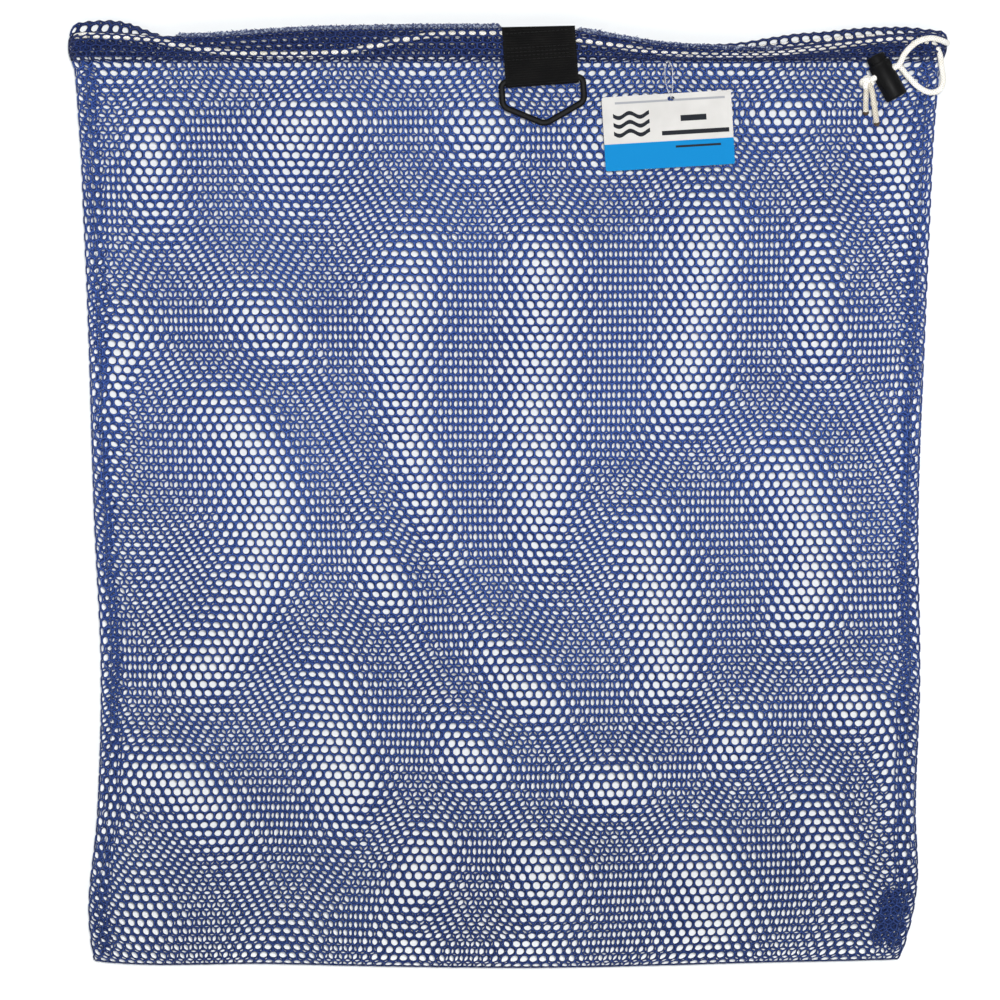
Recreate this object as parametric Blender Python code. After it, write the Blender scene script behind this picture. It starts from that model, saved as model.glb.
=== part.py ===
"""Hexagonal-mesh drawstring bag, hanging flat from its mouth hem.

X runs across the bag, Z is up and the front faces -Y. The origin is the middle of the
mouth, at the height of the hem's top edge, half way between the front and back nets.
All lengths are in metres.
"""
import math

import bmesh
import bpy
from mathutils import Matrix, Vector

# Driving dimensions
GAP = 0.0003
NET_THICKNESS = 0.0018
NET_DEPTH = 0.0065
SEAM_WIDTH = 0.010
HEM_BOTTOM = -0.023
HEM_DEPTH = 0.0085
HEM_HALF_THICKNESS = 0.0043
HEM_WALL = 0.0016
HEM_LEFT = -0.2878
CORNER_X = HEM_LEFT - 4 * GAP
HEM_RIGHT_BACK = 0.296
HEM_RIGHT_FRONT = 0.288
FLAP_RIGHT = 0.238
FLAP_NOTCH_Z = -0.075
FOLD_TOP = -0.6377
CORD_DIAMETER = 0.004
CORD_STEP = 0.010
STRAP_WIDTH = 0.050
STRAP_THICKNESS = 0.0033
STRAP_TILT = math.radians(4.0)
STRAP_HINGE = Vector((0.0225, -0.01475, -0.025))
LOOP_DROP = 0.0112
WEBBING = 0.0015
RING_BAR = 0.0045
RING_HALF_WIDTH = 0.028
RING_SIDE = 0.0168
RING_HEIGHT = 0.0292
CARD_SIZE = (0.0889, 0.0508, 0.0005)
CARD_CENTRE = Vector((0.110, -0.01105, -0.071))
CARD_TILT = math.radians(3.4)
CARD_SLOT = Vector((0.1118, -0.01105, -0.0489))
PIN_TOP = Vector((0.110, -0.0104, -0.0238))
LOCK_CENTRE = Vector((0.2578, -0.0215, -0.034))
LOCK_TILT = math.radians(-28.2)
LOCK_LENGTH = 0.031
BARREL_LENGTH = 0.025
BARREL_FOOT = -0.0018
BARREL_RADIUS = 0.00785
BORE_RADIUS = 0.0069
PLUNGER_RADIUS = 0.0066
PLUNGER_FOOT = 0.0115
BUTTON_TRAVEL = 0.004
CORD_HOLE_HEIGHT = 0.0172
CORD_SLOT_WIDTH = 0.0092
CORD_SLOT_CORNER = 0.0023
STRAND_SPREAD = 0.00215
KNOT_RADIUS = 0.0048

NET_OUTER = NET_DEPTH + NET_THICKNESS / 2
NET_INNER = NET_DEPTH - NET_THICKNESS / 2

# Outer edges of the bag from the hem down to the bottom corner, as (x, z)
LEFT_EDGE = (
    (-0.2990, -0.0233), (-0.2935, -0.084), (-0.2890, -0.200), (-0.2850, -0.330),
    (-0.2800, -0.455), (-0.2825, -0.540), (-0.2880, -0.620), (-0.2830, -0.642),
)
RIGHT_EDGE = (
    (0.2990, -0.0233), (0.2925, -0.084), (0.2875, -0.200), (0.2825, -0.330),
    (0.2835, -0.455), (0.2805, -0.540), (0.2815, -0.590), (0.2760, -0.620), (0.2680, -0.641),
)
# Bottom of the fold, top of the hems and the drawcord's height inside each hem, as (x, z)
BOTTOM_LINE = (
    (-0.274, -0.642), (-0.155, -0.6435), (-0.088, -0.645), (0.050, -0.646),
    (0.118, -0.6445), (0.187, -0.6425), (0.258, -0.641),
)
HEM_TOP_LINE = (
    (-0.300, 0.0000), (-0.262, 0.0035), (-0.235, 0.0000), (-0.212, -0.0035), (-0.185, -0.002),
    (-0.150, 0.0000), (-0.085, 0.0005), (0.000, 0.0008), (0.045, -0.0008), (0.085, -0.0055),
    (0.118, -0.008), (0.152, -0.008), (0.187, -0.003), (0.221, 0.0000), (0.256, 0.003),
    (0.300, 0.0008),
)
FRONT_CORD_LINE = (
    (-0.292, -0.005), (-0.240, -0.009), (-0.220, -0.0135), (-0.190, -0.017), (-0.150, -0.0185),
    (-0.110, -0.016), (-0.085, -0.011), (-0.060, -0.006), (-0.020, -0.0042), (0.030, -0.006),
    (0.055, -0.009), (0.080, -0.0135), (0.110, -0.0175), (0.150, -0.019), (0.190, -0.017),
    (0.212, -0.014), (0.240, -0.0105), (0.268, -0.008), (0.290, -0.0095),
)
BACK_CORD_LINE = (
    (-0.292, -0.005), (-0.250, -0.0045), (-0.212, -0.009), (-0.150, -0.010), (-0.060, -0.008),
    (0.045, -0.008), (0.118, -0.0135), (0.152, -0.0135), (0.200, -0.009), (0.250, -0.0045),
    (0.300, -0.006),
)
# Free strands of the drawcord between the hem's right end and the straight run into the
# cord lock, and the two tails below the knot, as (x, y, z)
UPPER_STRAND = (
    (0.2962, 0.0085, -0.0060), (0.2974, 0.0085, -0.0060), (0.3008, 0.0064, -0.0072),
    (0.3023, 0.0008, -0.0096), (0.3015, -0.0062, -0.0113), (0.2968, -0.0130, -0.0113),
    (0.2905, -0.0168, -0.0102), (0.2840, -0.0190, -0.0113), (0.2775, -0.0208, -0.0152),
    (0.2722, -0.0223, -0.0208),
)
LOWER_STRAND = (
    (0.2883, -0.0085, -0.0094), (0.2930, -0.0092, -0.0120), (0.2968, -0.0110, -0.0185),
    (0.2982, -0.0132, -0.0280), (0.2968, -0.0150, -0.0372), (0.2920, -0.0164, -0.0432),
    (0.2858, -0.0174, -0.0432), (0.2793, -0.0183, -0.0378), (0.2736, -0.0190, -0.0315),
)
LEFT_TAIL = (
    (0.2438, -0.0210, -0.0438), (0.2438, -0.0196, -0.0490), (0.2441, -0.0172, -0.0540),
    (0.2446, -0.0150, -0.0584),
)
RIGHT_TAIL = (
    (0.2483, -0.0226, -0.0436), (0.2490, -0.0222, -0.0500), (0.2502, -0.0198, -0.0580),
    (0.2515, -0.0166, -0.0663),
)


def clear_scene():
    for obj in list(bpy.data.objects):
        bpy.data.objects.remove(obj, do_unlink=True)


def make_material(name, colour, roughness, metallic=0.0, alpha=1.0):
    material = bpy.data.materials.new(name)
    material.use_nodes = True
    shader = material.node_tree.nodes["Principled BSDF"]
    shader.inputs["Base Color"].default_value = (*colour, 1.0)
    shader.inputs["Roughness"].default_value = roughness
    shader.inputs["Metallic"].default_value = metallic
    shader.inputs["Alpha"].default_value = alpha
    return material


def link_object(name, data, material, origin=None):
    """Links a mesh or curve, with its own origin moved to a joint's axis if one is given."""
    obj = bpy.data.objects.new(name, data)
    data.materials.append(material)
    if origin is not None:
        data.transform(Matrix.Translation(-origin))
        obj.location = origin
    bpy.context.collection.objects.link(obj)
    return obj


def mesh_from(name, bm, smooth_angle=None):
    bmesh.ops.recalc_face_normals(bm, faces=bm.faces)
    mesh = bpy.data.meshes.new(name)
    bm.to_mesh(mesh)
    bm.free()
    if smooth_angle is not None:
        mesh.shade_smooth()
        mesh.set_sharp_from_angle(angle=smooth_angle)
    return mesh


def smooth_value(line, x):
    """Height of a smooth curve through a line's (x, z) points."""
    index = 0
    while index < len(line) - 2 and x > line[index + 1][0]:
        index += 1
    before = line[max(index - 1, 0)]
    start = line[index]
    end = line[index + 1]
    after = line[min(index + 2, len(line) - 1)]
    span = end[0] - start[0]
    t = (x - start[0]) / span
    slope_start = (end[1] - before[1]) / (end[0] - before[0]) * span
    slope_end = (after[1] - start[1]) / (after[0] - start[0]) * span
    return (
        (2 * t ** 3 - 3 * t ** 2 + 1) * start[1]
        + (t ** 3 - 2 * t ** 2 + t) * slope_start
        + (-2 * t ** 3 + 3 * t ** 2) * end[1]
        + (t ** 3 - t ** 2) * slope_end
    )


def smooth_route(points, step):
    """Points about one step apart on a smooth curve through a route's own points."""
    knots = [Vector(point) for point in points]
    padded = [2 * knots[0] - knots[1], *knots, 2 * knots[-1] - knots[-2]]
    route = []
    for index in range(1, len(padded) - 2):
        p0, p1, p2, p3 = padded[index - 1:index + 3]
        count = max(1, round((p2 - p1).length / step))
        for number in range(count):
            t = number / count
            route.append(0.5 * (
                2 * p1 + (p2 - p0) * t + (2 * p0 - 5 * p1 + 4 * p2 - p3) * t * t
                + (3 * p1 - p0 - 3 * p2 + p3) * t ** 3
            ))
    route.append(knots[-1])
    return route


def tube(name, points, radius, material, cyclic=False, resolution=2, origin=None):
    curve = bpy.data.curves.new(name, "CURVE")
    curve.dimensions = "3D"
    curve.bevel_depth = radius
    curve.bevel_resolution = resolution
    curve.use_fill_caps = not cyclic
    spline = curve.splines.new("POLY")
    spline.points.add(len(points) - 1)
    for target, point in zip(spline.points, points):
        target.co = (*point, 1.0)
    spline.use_cyclic_u = cyclic
    return link_object(name, curve, material, origin)


def prism(bm, outline, low, high):
    """Adds an (x, z) outline extruded along Y."""
    front = [bm.verts.new((x, low, z)) for x, z in outline]
    back = [bm.verts.new((x, high, z)) for x, z in outline]
    bm.faces.new(front)
    bm.faces.new(reversed(back))
    for index in range(len(outline)):
        following = (index + 1) % len(outline)
        bm.faces.new((front[following], front[index], back[index], back[following]))


def box(bm, low, high):
    corners = ((low[0], low[2]), (high[0], low[2]), (high[0], high[2]), (low[0], high[2]))
    prism(bm, corners, low[1], high[1])


def edge_x(edge, z):
    """Where a side edge of the bag is at a height, on straight runs between its points."""
    for (x_high, z_high), (x_low, z_low) in zip(edge, edge[1:]):
        if z >= z_low:
            return x_high + (x_low - x_high) * (z - z_high) / (z_low - z_high)
    return edge[-1][0]


def loft(bm, rings):
    """Joins rings of the same count into one capped skin."""
    for ring, following in zip(rings, rings[1:]):
        for index in range(len(ring)):
            after = (index + 1) % len(ring)
            bm.faces.new((ring[index], ring[after], following[after], following[index]))
    bm.faces.new(rings[0])
    bm.faces.new(rings[-1])


def stations(start, end, step):
    count = max(1, round((end - start) / step))
    return [start + (end - start) * number / count for number in range(count + 1)]


def hem_section(depth, top, inset):
    """A hem's (y, z) outline: flat floor, upright legs and a round fold, inset by a wall."""
    half = HEM_HALF_THICKNESS - inset
    centre = top - HEM_HALF_THICKNESS
    section = [(depth - half, HEM_BOTTOM + inset)]
    for number in range(7):
        angle = math.pi - math.pi * number / 6
        section.append((depth + half * math.cos(angle), centre + half * math.sin(angle)))
    section.append((depth + half, HEM_BOTTOM + inset))
    return section


def hem_channel(name, depth, start, end, material):
    """A folded hem with a channel for the cord, open at both ends."""
    bm = bmesh.new()
    outer = []
    inner = []
    for x in stations(start, end, 0.018):
        top = smooth_value(HEM_TOP_LINE, x)
        outer.append([bm.verts.new((x, y, z)) for y, z in hem_section(depth, top, 0.0)])
        inner.append([bm.verts.new((x, y, z)) for y, z in hem_section(depth, top, HEM_WALL)])
    for skin in (outer, inner):
        for ring, following in zip(skin, skin[1:]):
            for index in range(len(ring)):
                after = (index + 1) % len(ring)
                bm.faces.new((ring[index], ring[after], following[after], following[index]))
    for outside, inside in ((outer[0], inner[0]), (outer[-1], inner[-1])):
        for index in range(len(outside)):
            after = (index + 1) % len(outside)
            bm.faces.new((outside[index], outside[after], inside[after], inside[index]))
    return link_object(name, mesh_from(name, bm, math.radians(40)), material)


def build_nets(net, seam, thread):
    top = HEM_BOTTOM - GAP
    bottom = FOLD_TOP + GAP
    inset = SEAM_WIDTH + GAP
    left = [(x + inset, z) for x, z in LEFT_EDGE if bottom < z < top]
    right = [(x - inset, z) for x, z in RIGHT_EDGE if bottom < z < top]
    left = [(edge_x(LEFT_EDGE, top) + inset, top), *left]
    left.append((edge_x(LEFT_EDGE, bottom) + inset, bottom))
    right.append((edge_x(RIGHT_EDGE, bottom) - inset, bottom))

    bm = bmesh.new()
    back_right = [(edge_x(RIGHT_EDGE, top) - inset, top), *right]
    prism(bm, left + back_right[::-1], NET_INNER, NET_OUTER)
    link_object("back_net", mesh_from("back_net", bm), net)

    notch_x = edge_x(RIGHT_EDGE, FLAP_NOTCH_Z) - inset
    notch = [(FLAP_RIGHT, top), (FLAP_RIGHT, FLAP_NOTCH_Z), (notch_x, FLAP_NOTCH_Z)]
    front_right = notch + [point for point in right if point[1] < FLAP_NOTCH_Z]
    bm = bmesh.new()
    prism(bm, left + front_right[::-1], -NET_OUTER, -NET_INNER)
    hinge = Vector((0.0, -NET_DEPTH, bottom))
    link_object("front_net", mesh_from("front_net", bm), net, hinge)

    corner_bottom = FLAP_NOTCH_Z + GAP
    corner = (
        (FLAP_RIGHT + GAP, top), (FLAP_RIGHT + GAP, corner_bottom),
        (edge_x(RIGHT_EDGE, corner_bottom) - inset, corner_bottom),
        (edge_x(RIGHT_EDGE, top) - inset, top),
    )
    bm = bmesh.new()
    prism(bm, corner, -NET_OUTER, -NET_INNER)
    link_object("corner_net_right", mesh_from("corner_net_right", bm), net)

    for name, edge, inward in (("left", LEFT_EDGE, 1), ("right", RIGHT_EDGE, -1)):
        inner = [(x + inward * SEAM_WIDTH, z) for x, z in edge]
        bm = bmesh.new()
        prism(bm, list(edge) + inner[::-1], -NET_OUTER, NET_OUTER)
        seam_mesh = mesh_from("side_seam_" + name, bm)
        link_object("side_seam_" + name, seam_mesh, seam)
        line = [
            (x + inward * SEAM_WIDTH * 0.7, -NET_OUTER - GAP - 0.0006, z)
            for x, z in edge[:-1]
        ]
        route = [Vector(point) for point in line]
        tube("side_stitching_" + name, route, 0.0005, thread)


def build_bottom_fold(seam):
    left = LEFT_EDGE[-1][0] + SEAM_WIDTH + 2 * GAP
    right = BOTTOM_LINE[-1][0] - 2 * GAP
    half = NET_OUTER
    bm = bmesh.new()
    rings = []
    for x in stations(left, right, 0.030):
        low = smooth_value(BOTTOM_LINE, x)
        outline = (
            (-half, FOLD_TOP), (-half, low + 0.0022), (-half * 0.7, low + 0.0007), (0.0, low),
            (half * 0.7, low + 0.0007), (half, low + 0.0022), (half, FOLD_TOP),
        )
        rings.append([bm.verts.new((x, y, z)) for y, z in outline])
    loft(bm, rings)
    link_object("bottom_fold", mesh_from("bottom_fold", bm, math.radians(40)), seam)


def build_hems(net, thread):
    hinge = Vector((0.0, -NET_DEPTH, FOLD_TOP + GAP))
    hem_channel("back_hem", HEM_DEPTH, HEM_LEFT, HEM_RIGHT_BACK, net)
    hem_channel("corner_hem_right", -HEM_DEPTH, FLAP_RIGHT + GAP, HEM_RIGHT_FRONT, net)
    front = hem_channel("front_hem", -HEM_DEPTH, HEM_LEFT, FLAP_RIGHT, net)
    front.data.transform(Matrix.Translation(-hinge))
    front.location = hinge

    # The hem's left corner wraps the drawcord's turn from the front to the back
    bm = bmesh.new()
    outer_radius = HEM_DEPTH + HEM_HALF_THICKNESS
    inner_radius = outer_radius - HEM_WALL
    rings = []
    for number in range(13):
        angle = math.pi / 2 + math.pi * number / 12
        direction = Vector((math.cos(angle), math.sin(angle), 0.0))
        centre = Vector((CORNER_X, 0.0, 0.0))
        low = Vector((0.0, 0.0, HEM_BOTTOM))
        high = Vector((0.0, 0.0, -0.001 + 0.0012 * direction.x))
        outer = centre + outer_radius * direction
        inner = centre + inner_radius * direction
        corners = (outer + low, outer + high, inner + high, inner + low)
        rings.append([bm.verts.new(corner) for corner in corners])
    loft(bm, rings)
    mesh = mesh_from("corner_hem_left", bm, math.radians(40))
    link_object("corner_hem_left", mesh, net)

    # One row of thread closes each hem; the front row is parted by the strap
    row_low = HEM_BOTTOM + 0.0014
    row_high = row_low + 0.0012
    face = HEM_DEPTH + HEM_HALF_THICKNESS + GAP
    for name, start, end in (
        ("hem_stitching_left", HEM_LEFT + 0.001, -0.008),
        ("hem_stitching_right", 0.054, FLAP_RIGHT - 0.001),
    ):
        bm = bmesh.new()
        box(bm, (start, -face - 0.0008, row_low), (end, -face, row_high))
        link_object(name, mesh_from(name, bm), thread, hinge)
    bm = bmesh.new()
    box(bm, (HEM_LEFT + 0.001, face, row_low), (HEM_RIGHT_BACK - 0.001, face + 0.0008, row_high))
    link_object("hem_stitching_back", mesh_from("hem_stitching_back", bm), thread)


def strap_frame():
    return Matrix.Translation(STRAP_HINGE) @ Matrix.Rotation(-STRAP_TILT, 4, "Y")


def teardrop(top_radius, bottom_radius, drop):
    """A (y, z) outline round a small circle at the hinge and a larger one round the bar."""
    lean = math.asin((bottom_radius - top_radius) / drop)
    outline = []
    for number in range(7):
        angle = lean + (math.pi - 2 * lean) * number / 6
        outline.append((top_radius * math.cos(angle), top_radius * math.sin(angle)))
    for number in range(13):
        angle = math.pi - lean + (math.pi + 2 * lean) * number / 12
        outline.append((bottom_radius * math.cos(angle), bottom_radius * math.sin(angle) - drop))
    return outline


def build_strap(webbing, thread):
    half = STRAP_WIDTH / 2
    thick = STRAP_THICKNESS / 2
    frame = strap_frame()
    hinge = Vector((0.0, -NET_DEPTH, FOLD_TOP + GAP))
    sewn_bottom = thick + GAP
    sewn = ((-half, sewn_bottom), (half, sewn_bottom), (half, 0.0239), (-half, 0.0274))
    bm = bmesh.new()
    prism(bm, sewn, -thick, thick)
    bm.transform(frame)
    link_object("strap_top", mesh_from("strap_top", bm), webbing, hinge)

    # A box of thread holds the webbing to the hem
    front = -thick - GAP
    bm = bmesh.new()
    rings = []
    for inset in (0.0, 0.0009):
        for y in (front - 0.0006, front):
            side = 0.0235 - inset
            low = 0.0035 + inset
            high = 0.0218 - inset
            corners = ((-side, low), (side, low), (side, high), (-side, high))
            rings.append([bm.verts.new((x, y, z)) for x, z in corners])
    for first, second in ((0, 1), (1, 3), (3, 2), (2, 0)):
        for index in range(4):
            after = (index + 1) % 4
            bm.faces.new((rings[first][index], rings[first][after],
                          rings[second][after], rings[second][index]))
    bm.transform(frame)
    link_object("strap_stitching", mesh_from("strap_stitching", bm), thread, hinge)

    # The free part of the webbing goes round the ring's bar and back up
    clearance = 0.00035
    inner_radius = RING_BAR / 2 + clearance
    outer = teardrop(thick, inner_radius + WEBBING, LOOP_DROP)
    hollow = teardrop(0.0003, inner_radius, LOOP_DROP - 0.004)
    bm = bmesh.new()
    sides = []
    for x in (-half, half):
        outside = [bm.verts.new((x, y, z)) for y, z in outer]
        inside = [bm.verts.new((x, y, z - 0.004)) for y, z in hollow]
        sides.append((outside, inside))
    for index in range(len(outer)):
        after = (index + 1) % len(outer)
        for low, high in zip(sides[0], sides[1]):
            bm.faces.new((low[index], low[after], high[after], high[index]))
        for outside, inside in sides:
            bm.faces.new((outside[index], outside[after], inside[after], inside[index]))
    bm.transform(frame)
    mesh = mesh_from("strap_loop", bm, math.radians(40))
    link_object("strap_loop", mesh, webbing, STRAP_HINGE)


def rounded_corners(corners, radii, steps):
    """Points round a closed outline with an arc at each corner."""
    points = []
    count = len(corners)
    for index, corner in enumerate(corners):
        corner = Vector(corner)
        to_before = (Vector(corners[index - 1]) - corner).normalized()
        to_after = (Vector(corners[(index + 1) % count]) - corner).normalized()
        half_angle = to_before.angle(to_after) / 2
        bisector = (to_before + to_after).normalized()
        centre = corner + bisector * (radii[index] / math.sin(half_angle))
        reach = radii[index] / math.tan(half_angle)
        start = (corner + to_before * reach - centre).normalized()
        end = (corner + to_after * reach - centre).normalized()
        for number in range(steps + 1):
            points.append(centre + radii[index] * start.slerp(end, number / steps))
    return points


def build_ring(plastic):
    corners = (
        (-RING_HALF_WIDTH, 0.0, 0.0), (-RING_HALF_WIDTH, 0.0, -RING_SIDE),
        (0.0, 0.0, -RING_HEIGHT - 0.0014), (RING_HALF_WIDTH, 0.0, -RING_SIDE),
        (RING_HALF_WIDTH, 0.0, 0.0),
    )
    outline = rounded_corners(corners, (0.004, 0.006, 0.008, 0.006, 0.004), 4)
    frame = strap_frame() @ Matrix.Translation((0.0, 0.0, -LOOP_DROP))
    route = [frame @ point for point in outline]
    tube("d_ring", route, RING_BAR / 2, plastic, cyclic=True, resolution=4,
         origin=frame.translation)


def slot_outline(width, height, steps):
    """Half-round-ended slot as (across, up) points about its centre."""
    radius = height / 2
    offset = width / 2 - radius
    outline = []
    for centre, first in ((offset, -math.pi / 2), (-offset, math.pi / 2)):
        for number in range(steps + 1):
            angle = first + math.pi * number / steps
            outline.append((centre + radius * math.cos(angle), radius * math.sin(angle)))
    return outline


def hide_cutter(obj):
    obj.hide_render = True
    obj.display_type = "WIRE"


def cut(obj, cutter):
    modifier = obj.modifiers.new("cut", "BOOLEAN")
    modifier.operation = "DIFFERENCE"
    modifier.solver = "EXACT"
    modifier.object = cutter


def build_tag(card, clear_plastic):
    width, height, thickness = CARD_SIZE
    tilt = Matrix.Rotation(-CARD_TILT, 4, "Y")
    bm = bmesh.new()
    corners = ((-width / 2, 0.0, -height / 2), (width / 2, 0.0, -height / 2),
               (width / 2, 0.0, height / 2), (-width / 2, 0.0, height / 2))
    outline = [(p.x, p.z) for p in rounded_corners(corners, (0.0015,) * 4, 3)]
    prism(bm, outline, -thickness / 2, thickness / 2)
    bm.transform(Matrix.Translation(CARD_CENTRE) @ tilt)
    tag = link_object("hang_tag", mesh_from("hang_tag", bm), card, PIN_TOP)

    bm = bmesh.new()
    prism(bm, slot_outline(0.0048, 0.003, 4), -0.002, 0.002)
    bm.transform(Matrix.Translation(CARD_SLOT) @ tilt)
    cutter = link_object("tag_slot_cutter", mesh_from("tag_slot_cutter", bm), card)
    hide_cutter(cutter)
    cut(tag, cutter)

    # Thin plastic loop: down in front of the card, through the slot and up behind it
    loop = (
        (0.1100, -0.0104, -0.0238), (0.1078, -0.0109, -0.0268), (0.1079, -0.0119, -0.0360),
        (0.1098, -0.0127, -0.0440), (0.1113, -0.0126, -0.0474), (0.1118, -0.01105, -0.0489),
        (0.1123, -0.0095, -0.0474), (0.1128, -0.0095, -0.0440), (0.1130, -0.0101, -0.0360),
        (0.1124, -0.0104, -0.0268),
    )
    closed = smooth_route(loop + loop[:1], 0.0022)[:-1]
    tube("tag_pin", closed, 0.00045, clear_plastic, cyclic=True, resolution=1, origin=PIN_TOP)


def lock_frame():
    foot = Matrix.Translation((0.0, 0.0, -LOCK_LENGTH / 2))
    return Matrix.Translation(LOCK_CENTRE) @ Matrix.Rotation(LOCK_TILT, 4, "Y") @ foot


def turned(name, profile, segments, material, origin):
    """Turns an (r, z) profile that starts and ends on the lock's axis."""
    bm = bmesh.new()
    rings = []
    for radius, z in profile:
        if radius == 0.0:
            rings.append([bm.verts.new((0.0, 0.0, z))] * segments)
            continue
        ring = []
        for number in range(segments):
            angle = 2 * math.pi * number / segments
            ring.append(bm.verts.new((radius * math.cos(angle), radius * math.sin(angle), z)))
        rings.append(ring)
    for ring, following in zip(rings, rings[1:]):
        for index in range(segments):
            after = (index + 1) % segments
            corners = (ring[index], ring[after], following[after], following[index])
            bm.faces.new(dict.fromkeys(corners))
    bm.transform(lock_frame())
    return link_object(name, mesh_from(name, bm, math.radians(35)), material, origin)


def cord_slot_cutter(name, low, high, material):
    """A slot across the lock for both strands, side by side in Y."""
    half = CORD_SLOT_WIDTH / 2
    corners = ((0.0, -half, low), (0.0, half, low), (0.0, half, high), (0.0, -half, high))
    outline = rounded_corners(corners, (CORD_SLOT_CORNER,) * 4, 4)
    reach = Vector((BARREL_RADIUS + 0.003, 0.0, 0.0))
    bm = bmesh.new()
    near = [bm.verts.new(point - reach) for point in outline]
    far = [bm.verts.new(point + reach) for point in outline]
    loft(bm, (near, far))
    bm.transform(lock_frame())
    cutter = link_object(name, mesh_from(name, bm), material)
    hide_cutter(cutter)
    return cutter


def build_lock(plastic, steel):
    hole_half = 0.0024
    barrel_profile = (
        (0.0, BARREL_FOOT), (0.0070, BARREL_FOOT), (BARREL_RADIUS, BARREL_FOOT + 0.0008),
        (BARREL_RADIUS, 0.0243),
        (0.0074, BARREL_LENGTH), (BORE_RADIUS, BARREL_LENGTH), (BORE_RADIUS, 0.002), (0.0, 0.002),
    )
    barrel = turned("lock_barrel", barrel_profile, 32, plastic, LOCK_CENTRE)
    cutter = cord_slot_cutter(
        "barrel_slot_cutter", CORD_HOLE_HEIGHT - hole_half, CORD_HOLE_HEIGHT + hole_half, plastic)
    cut(barrel, cutter)

    plunger_profile = (
        (0.0, PLUNGER_FOOT), (0.0060, PLUNGER_FOOT), (PLUNGER_RADIUS, PLUNGER_FOOT + 0.0006),
        (PLUNGER_RADIUS, 0.0296), (0.0061, 0.0304), (0.0048, 0.0309), (0.0, LOCK_LENGTH),
    )
    plunger = turned("lock_plunger", plunger_profile, 32, plastic, LOCK_CENTRE)
    cutter = cord_slot_cutter(
        "plunger_slot_cutter", CORD_HOLE_HEIGHT - hole_half,
        CORD_HOLE_HEIGHT + hole_half + BUTTON_TRAVEL, plastic)
    cut(plunger, cutter)

    wire = 0.0005
    low = 0.002 + GAP + wire
    high = PLUNGER_FOOT - GAP - wire
    turns = 4
    frame = lock_frame()
    route = []
    for number in range(turns * 12 + 1):
        share = number / (turns * 12)
        angle = 2 * math.pi * turns * share
        local = Vector((0.0045 * math.cos(angle), 0.0045 * math.sin(angle),
                        low + (high - low) * share))
        route.append(frame @ local)
    tube("lock_spring", route, wire, steel, resolution=1, origin=LOCK_CENTRE)


def build_cord(cord, melted):
    radius = CORD_DIAMETER / 2
    hinge = Vector((0.0, -NET_DEPTH, FOLD_TOP + GAP))
    front = [
        Vector((x, -HEM_DEPTH, smooth_value(FRONT_CORD_LINE, x)))
        for x in stations(HEM_LEFT - GAP, FLAP_RIGHT - GAP, CORD_STEP)
    ]
    tube("drawcord_front", front, radius, cord, origin=hinge)

    # From the front hem's left end round the corner and along the back hem
    turn_z = smooth_value(FRONT_CORD_LINE, HEM_LEFT)
    turn = []
    for number in range(9):
        angle = -math.pi / 2 - math.pi * number / 8
        turn.append(Vector((
            CORNER_X + HEM_DEPTH * math.cos(angle), HEM_DEPTH * math.sin(angle), turn_z)))
    back = [
        Vector((x, HEM_DEPTH, smooth_value(BACK_CORD_LINE, x)))
        for x in stations(HEM_LEFT + 0.009, HEM_RIGHT_BACK - GAP, CORD_STEP)
    ]
    tube("drawcord_back", turn + back, radius, cord)

    # Both strands run straight and side by side through the lock and stop at the knot
    frame = lock_frame()
    straight_end = BARREL_RADIUS + 0.005
    knot_side = -BARREL_RADIUS - 0.00035
    for name, route, side in (
        ("cord_strand_upper", UPPER_STRAND, -STRAND_SPREAD),
        ("cord_strand_lower", LOWER_STRAND, STRAND_SPREAD),
    ):
        through = [
            frame @ Vector((x, side, CORD_HOLE_HEIGHT))
            for x in (straight_end, 0.0, knot_side)
        ]
        held = []
        if name == "cord_strand_lower":
            held = [
                Vector((x, -HEM_DEPTH, smooth_value(FRONT_CORD_LINE, x)))
                for x in stations(FLAP_RIGHT + GAP, HEM_RIGHT_FRONT - 0.008, CORD_STEP)
            ]
        free = held + [Vector(point) for point in route] + through[:1]
        tube(name, smooth_route(free, 0.0045) + through[1:], radius, cord)

    knot_centre = frame @ Vector((-BARREL_RADIUS - GAP - KNOT_RADIUS, 0.0, CORD_HOLE_HEIGHT))
    bm = bmesh.new()
    bmesh.ops.create_icosphere(bm, subdivisions=3, radius=KNOT_RADIUS)
    bm.transform(Matrix.Translation(knot_centre))
    link_object("cord_knot", mesh_from("cord_knot", bm, math.radians(60)), cord)

    for name, tail in (("left", LEFT_TAIL), ("right", RIGHT_TAIL)):
        route = smooth_route(tail, 0.0045)
        tube("cord_tail_" + name, route, radius, cord)
        direction = (route[-1] - route[-2]).normalized()
        tip = [route[-1] + direction * reach for reach in (GAP, 0.0016, 0.0026)]
        tube("cord_tip_" + name, tip, radius * 1.05, melted)


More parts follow.
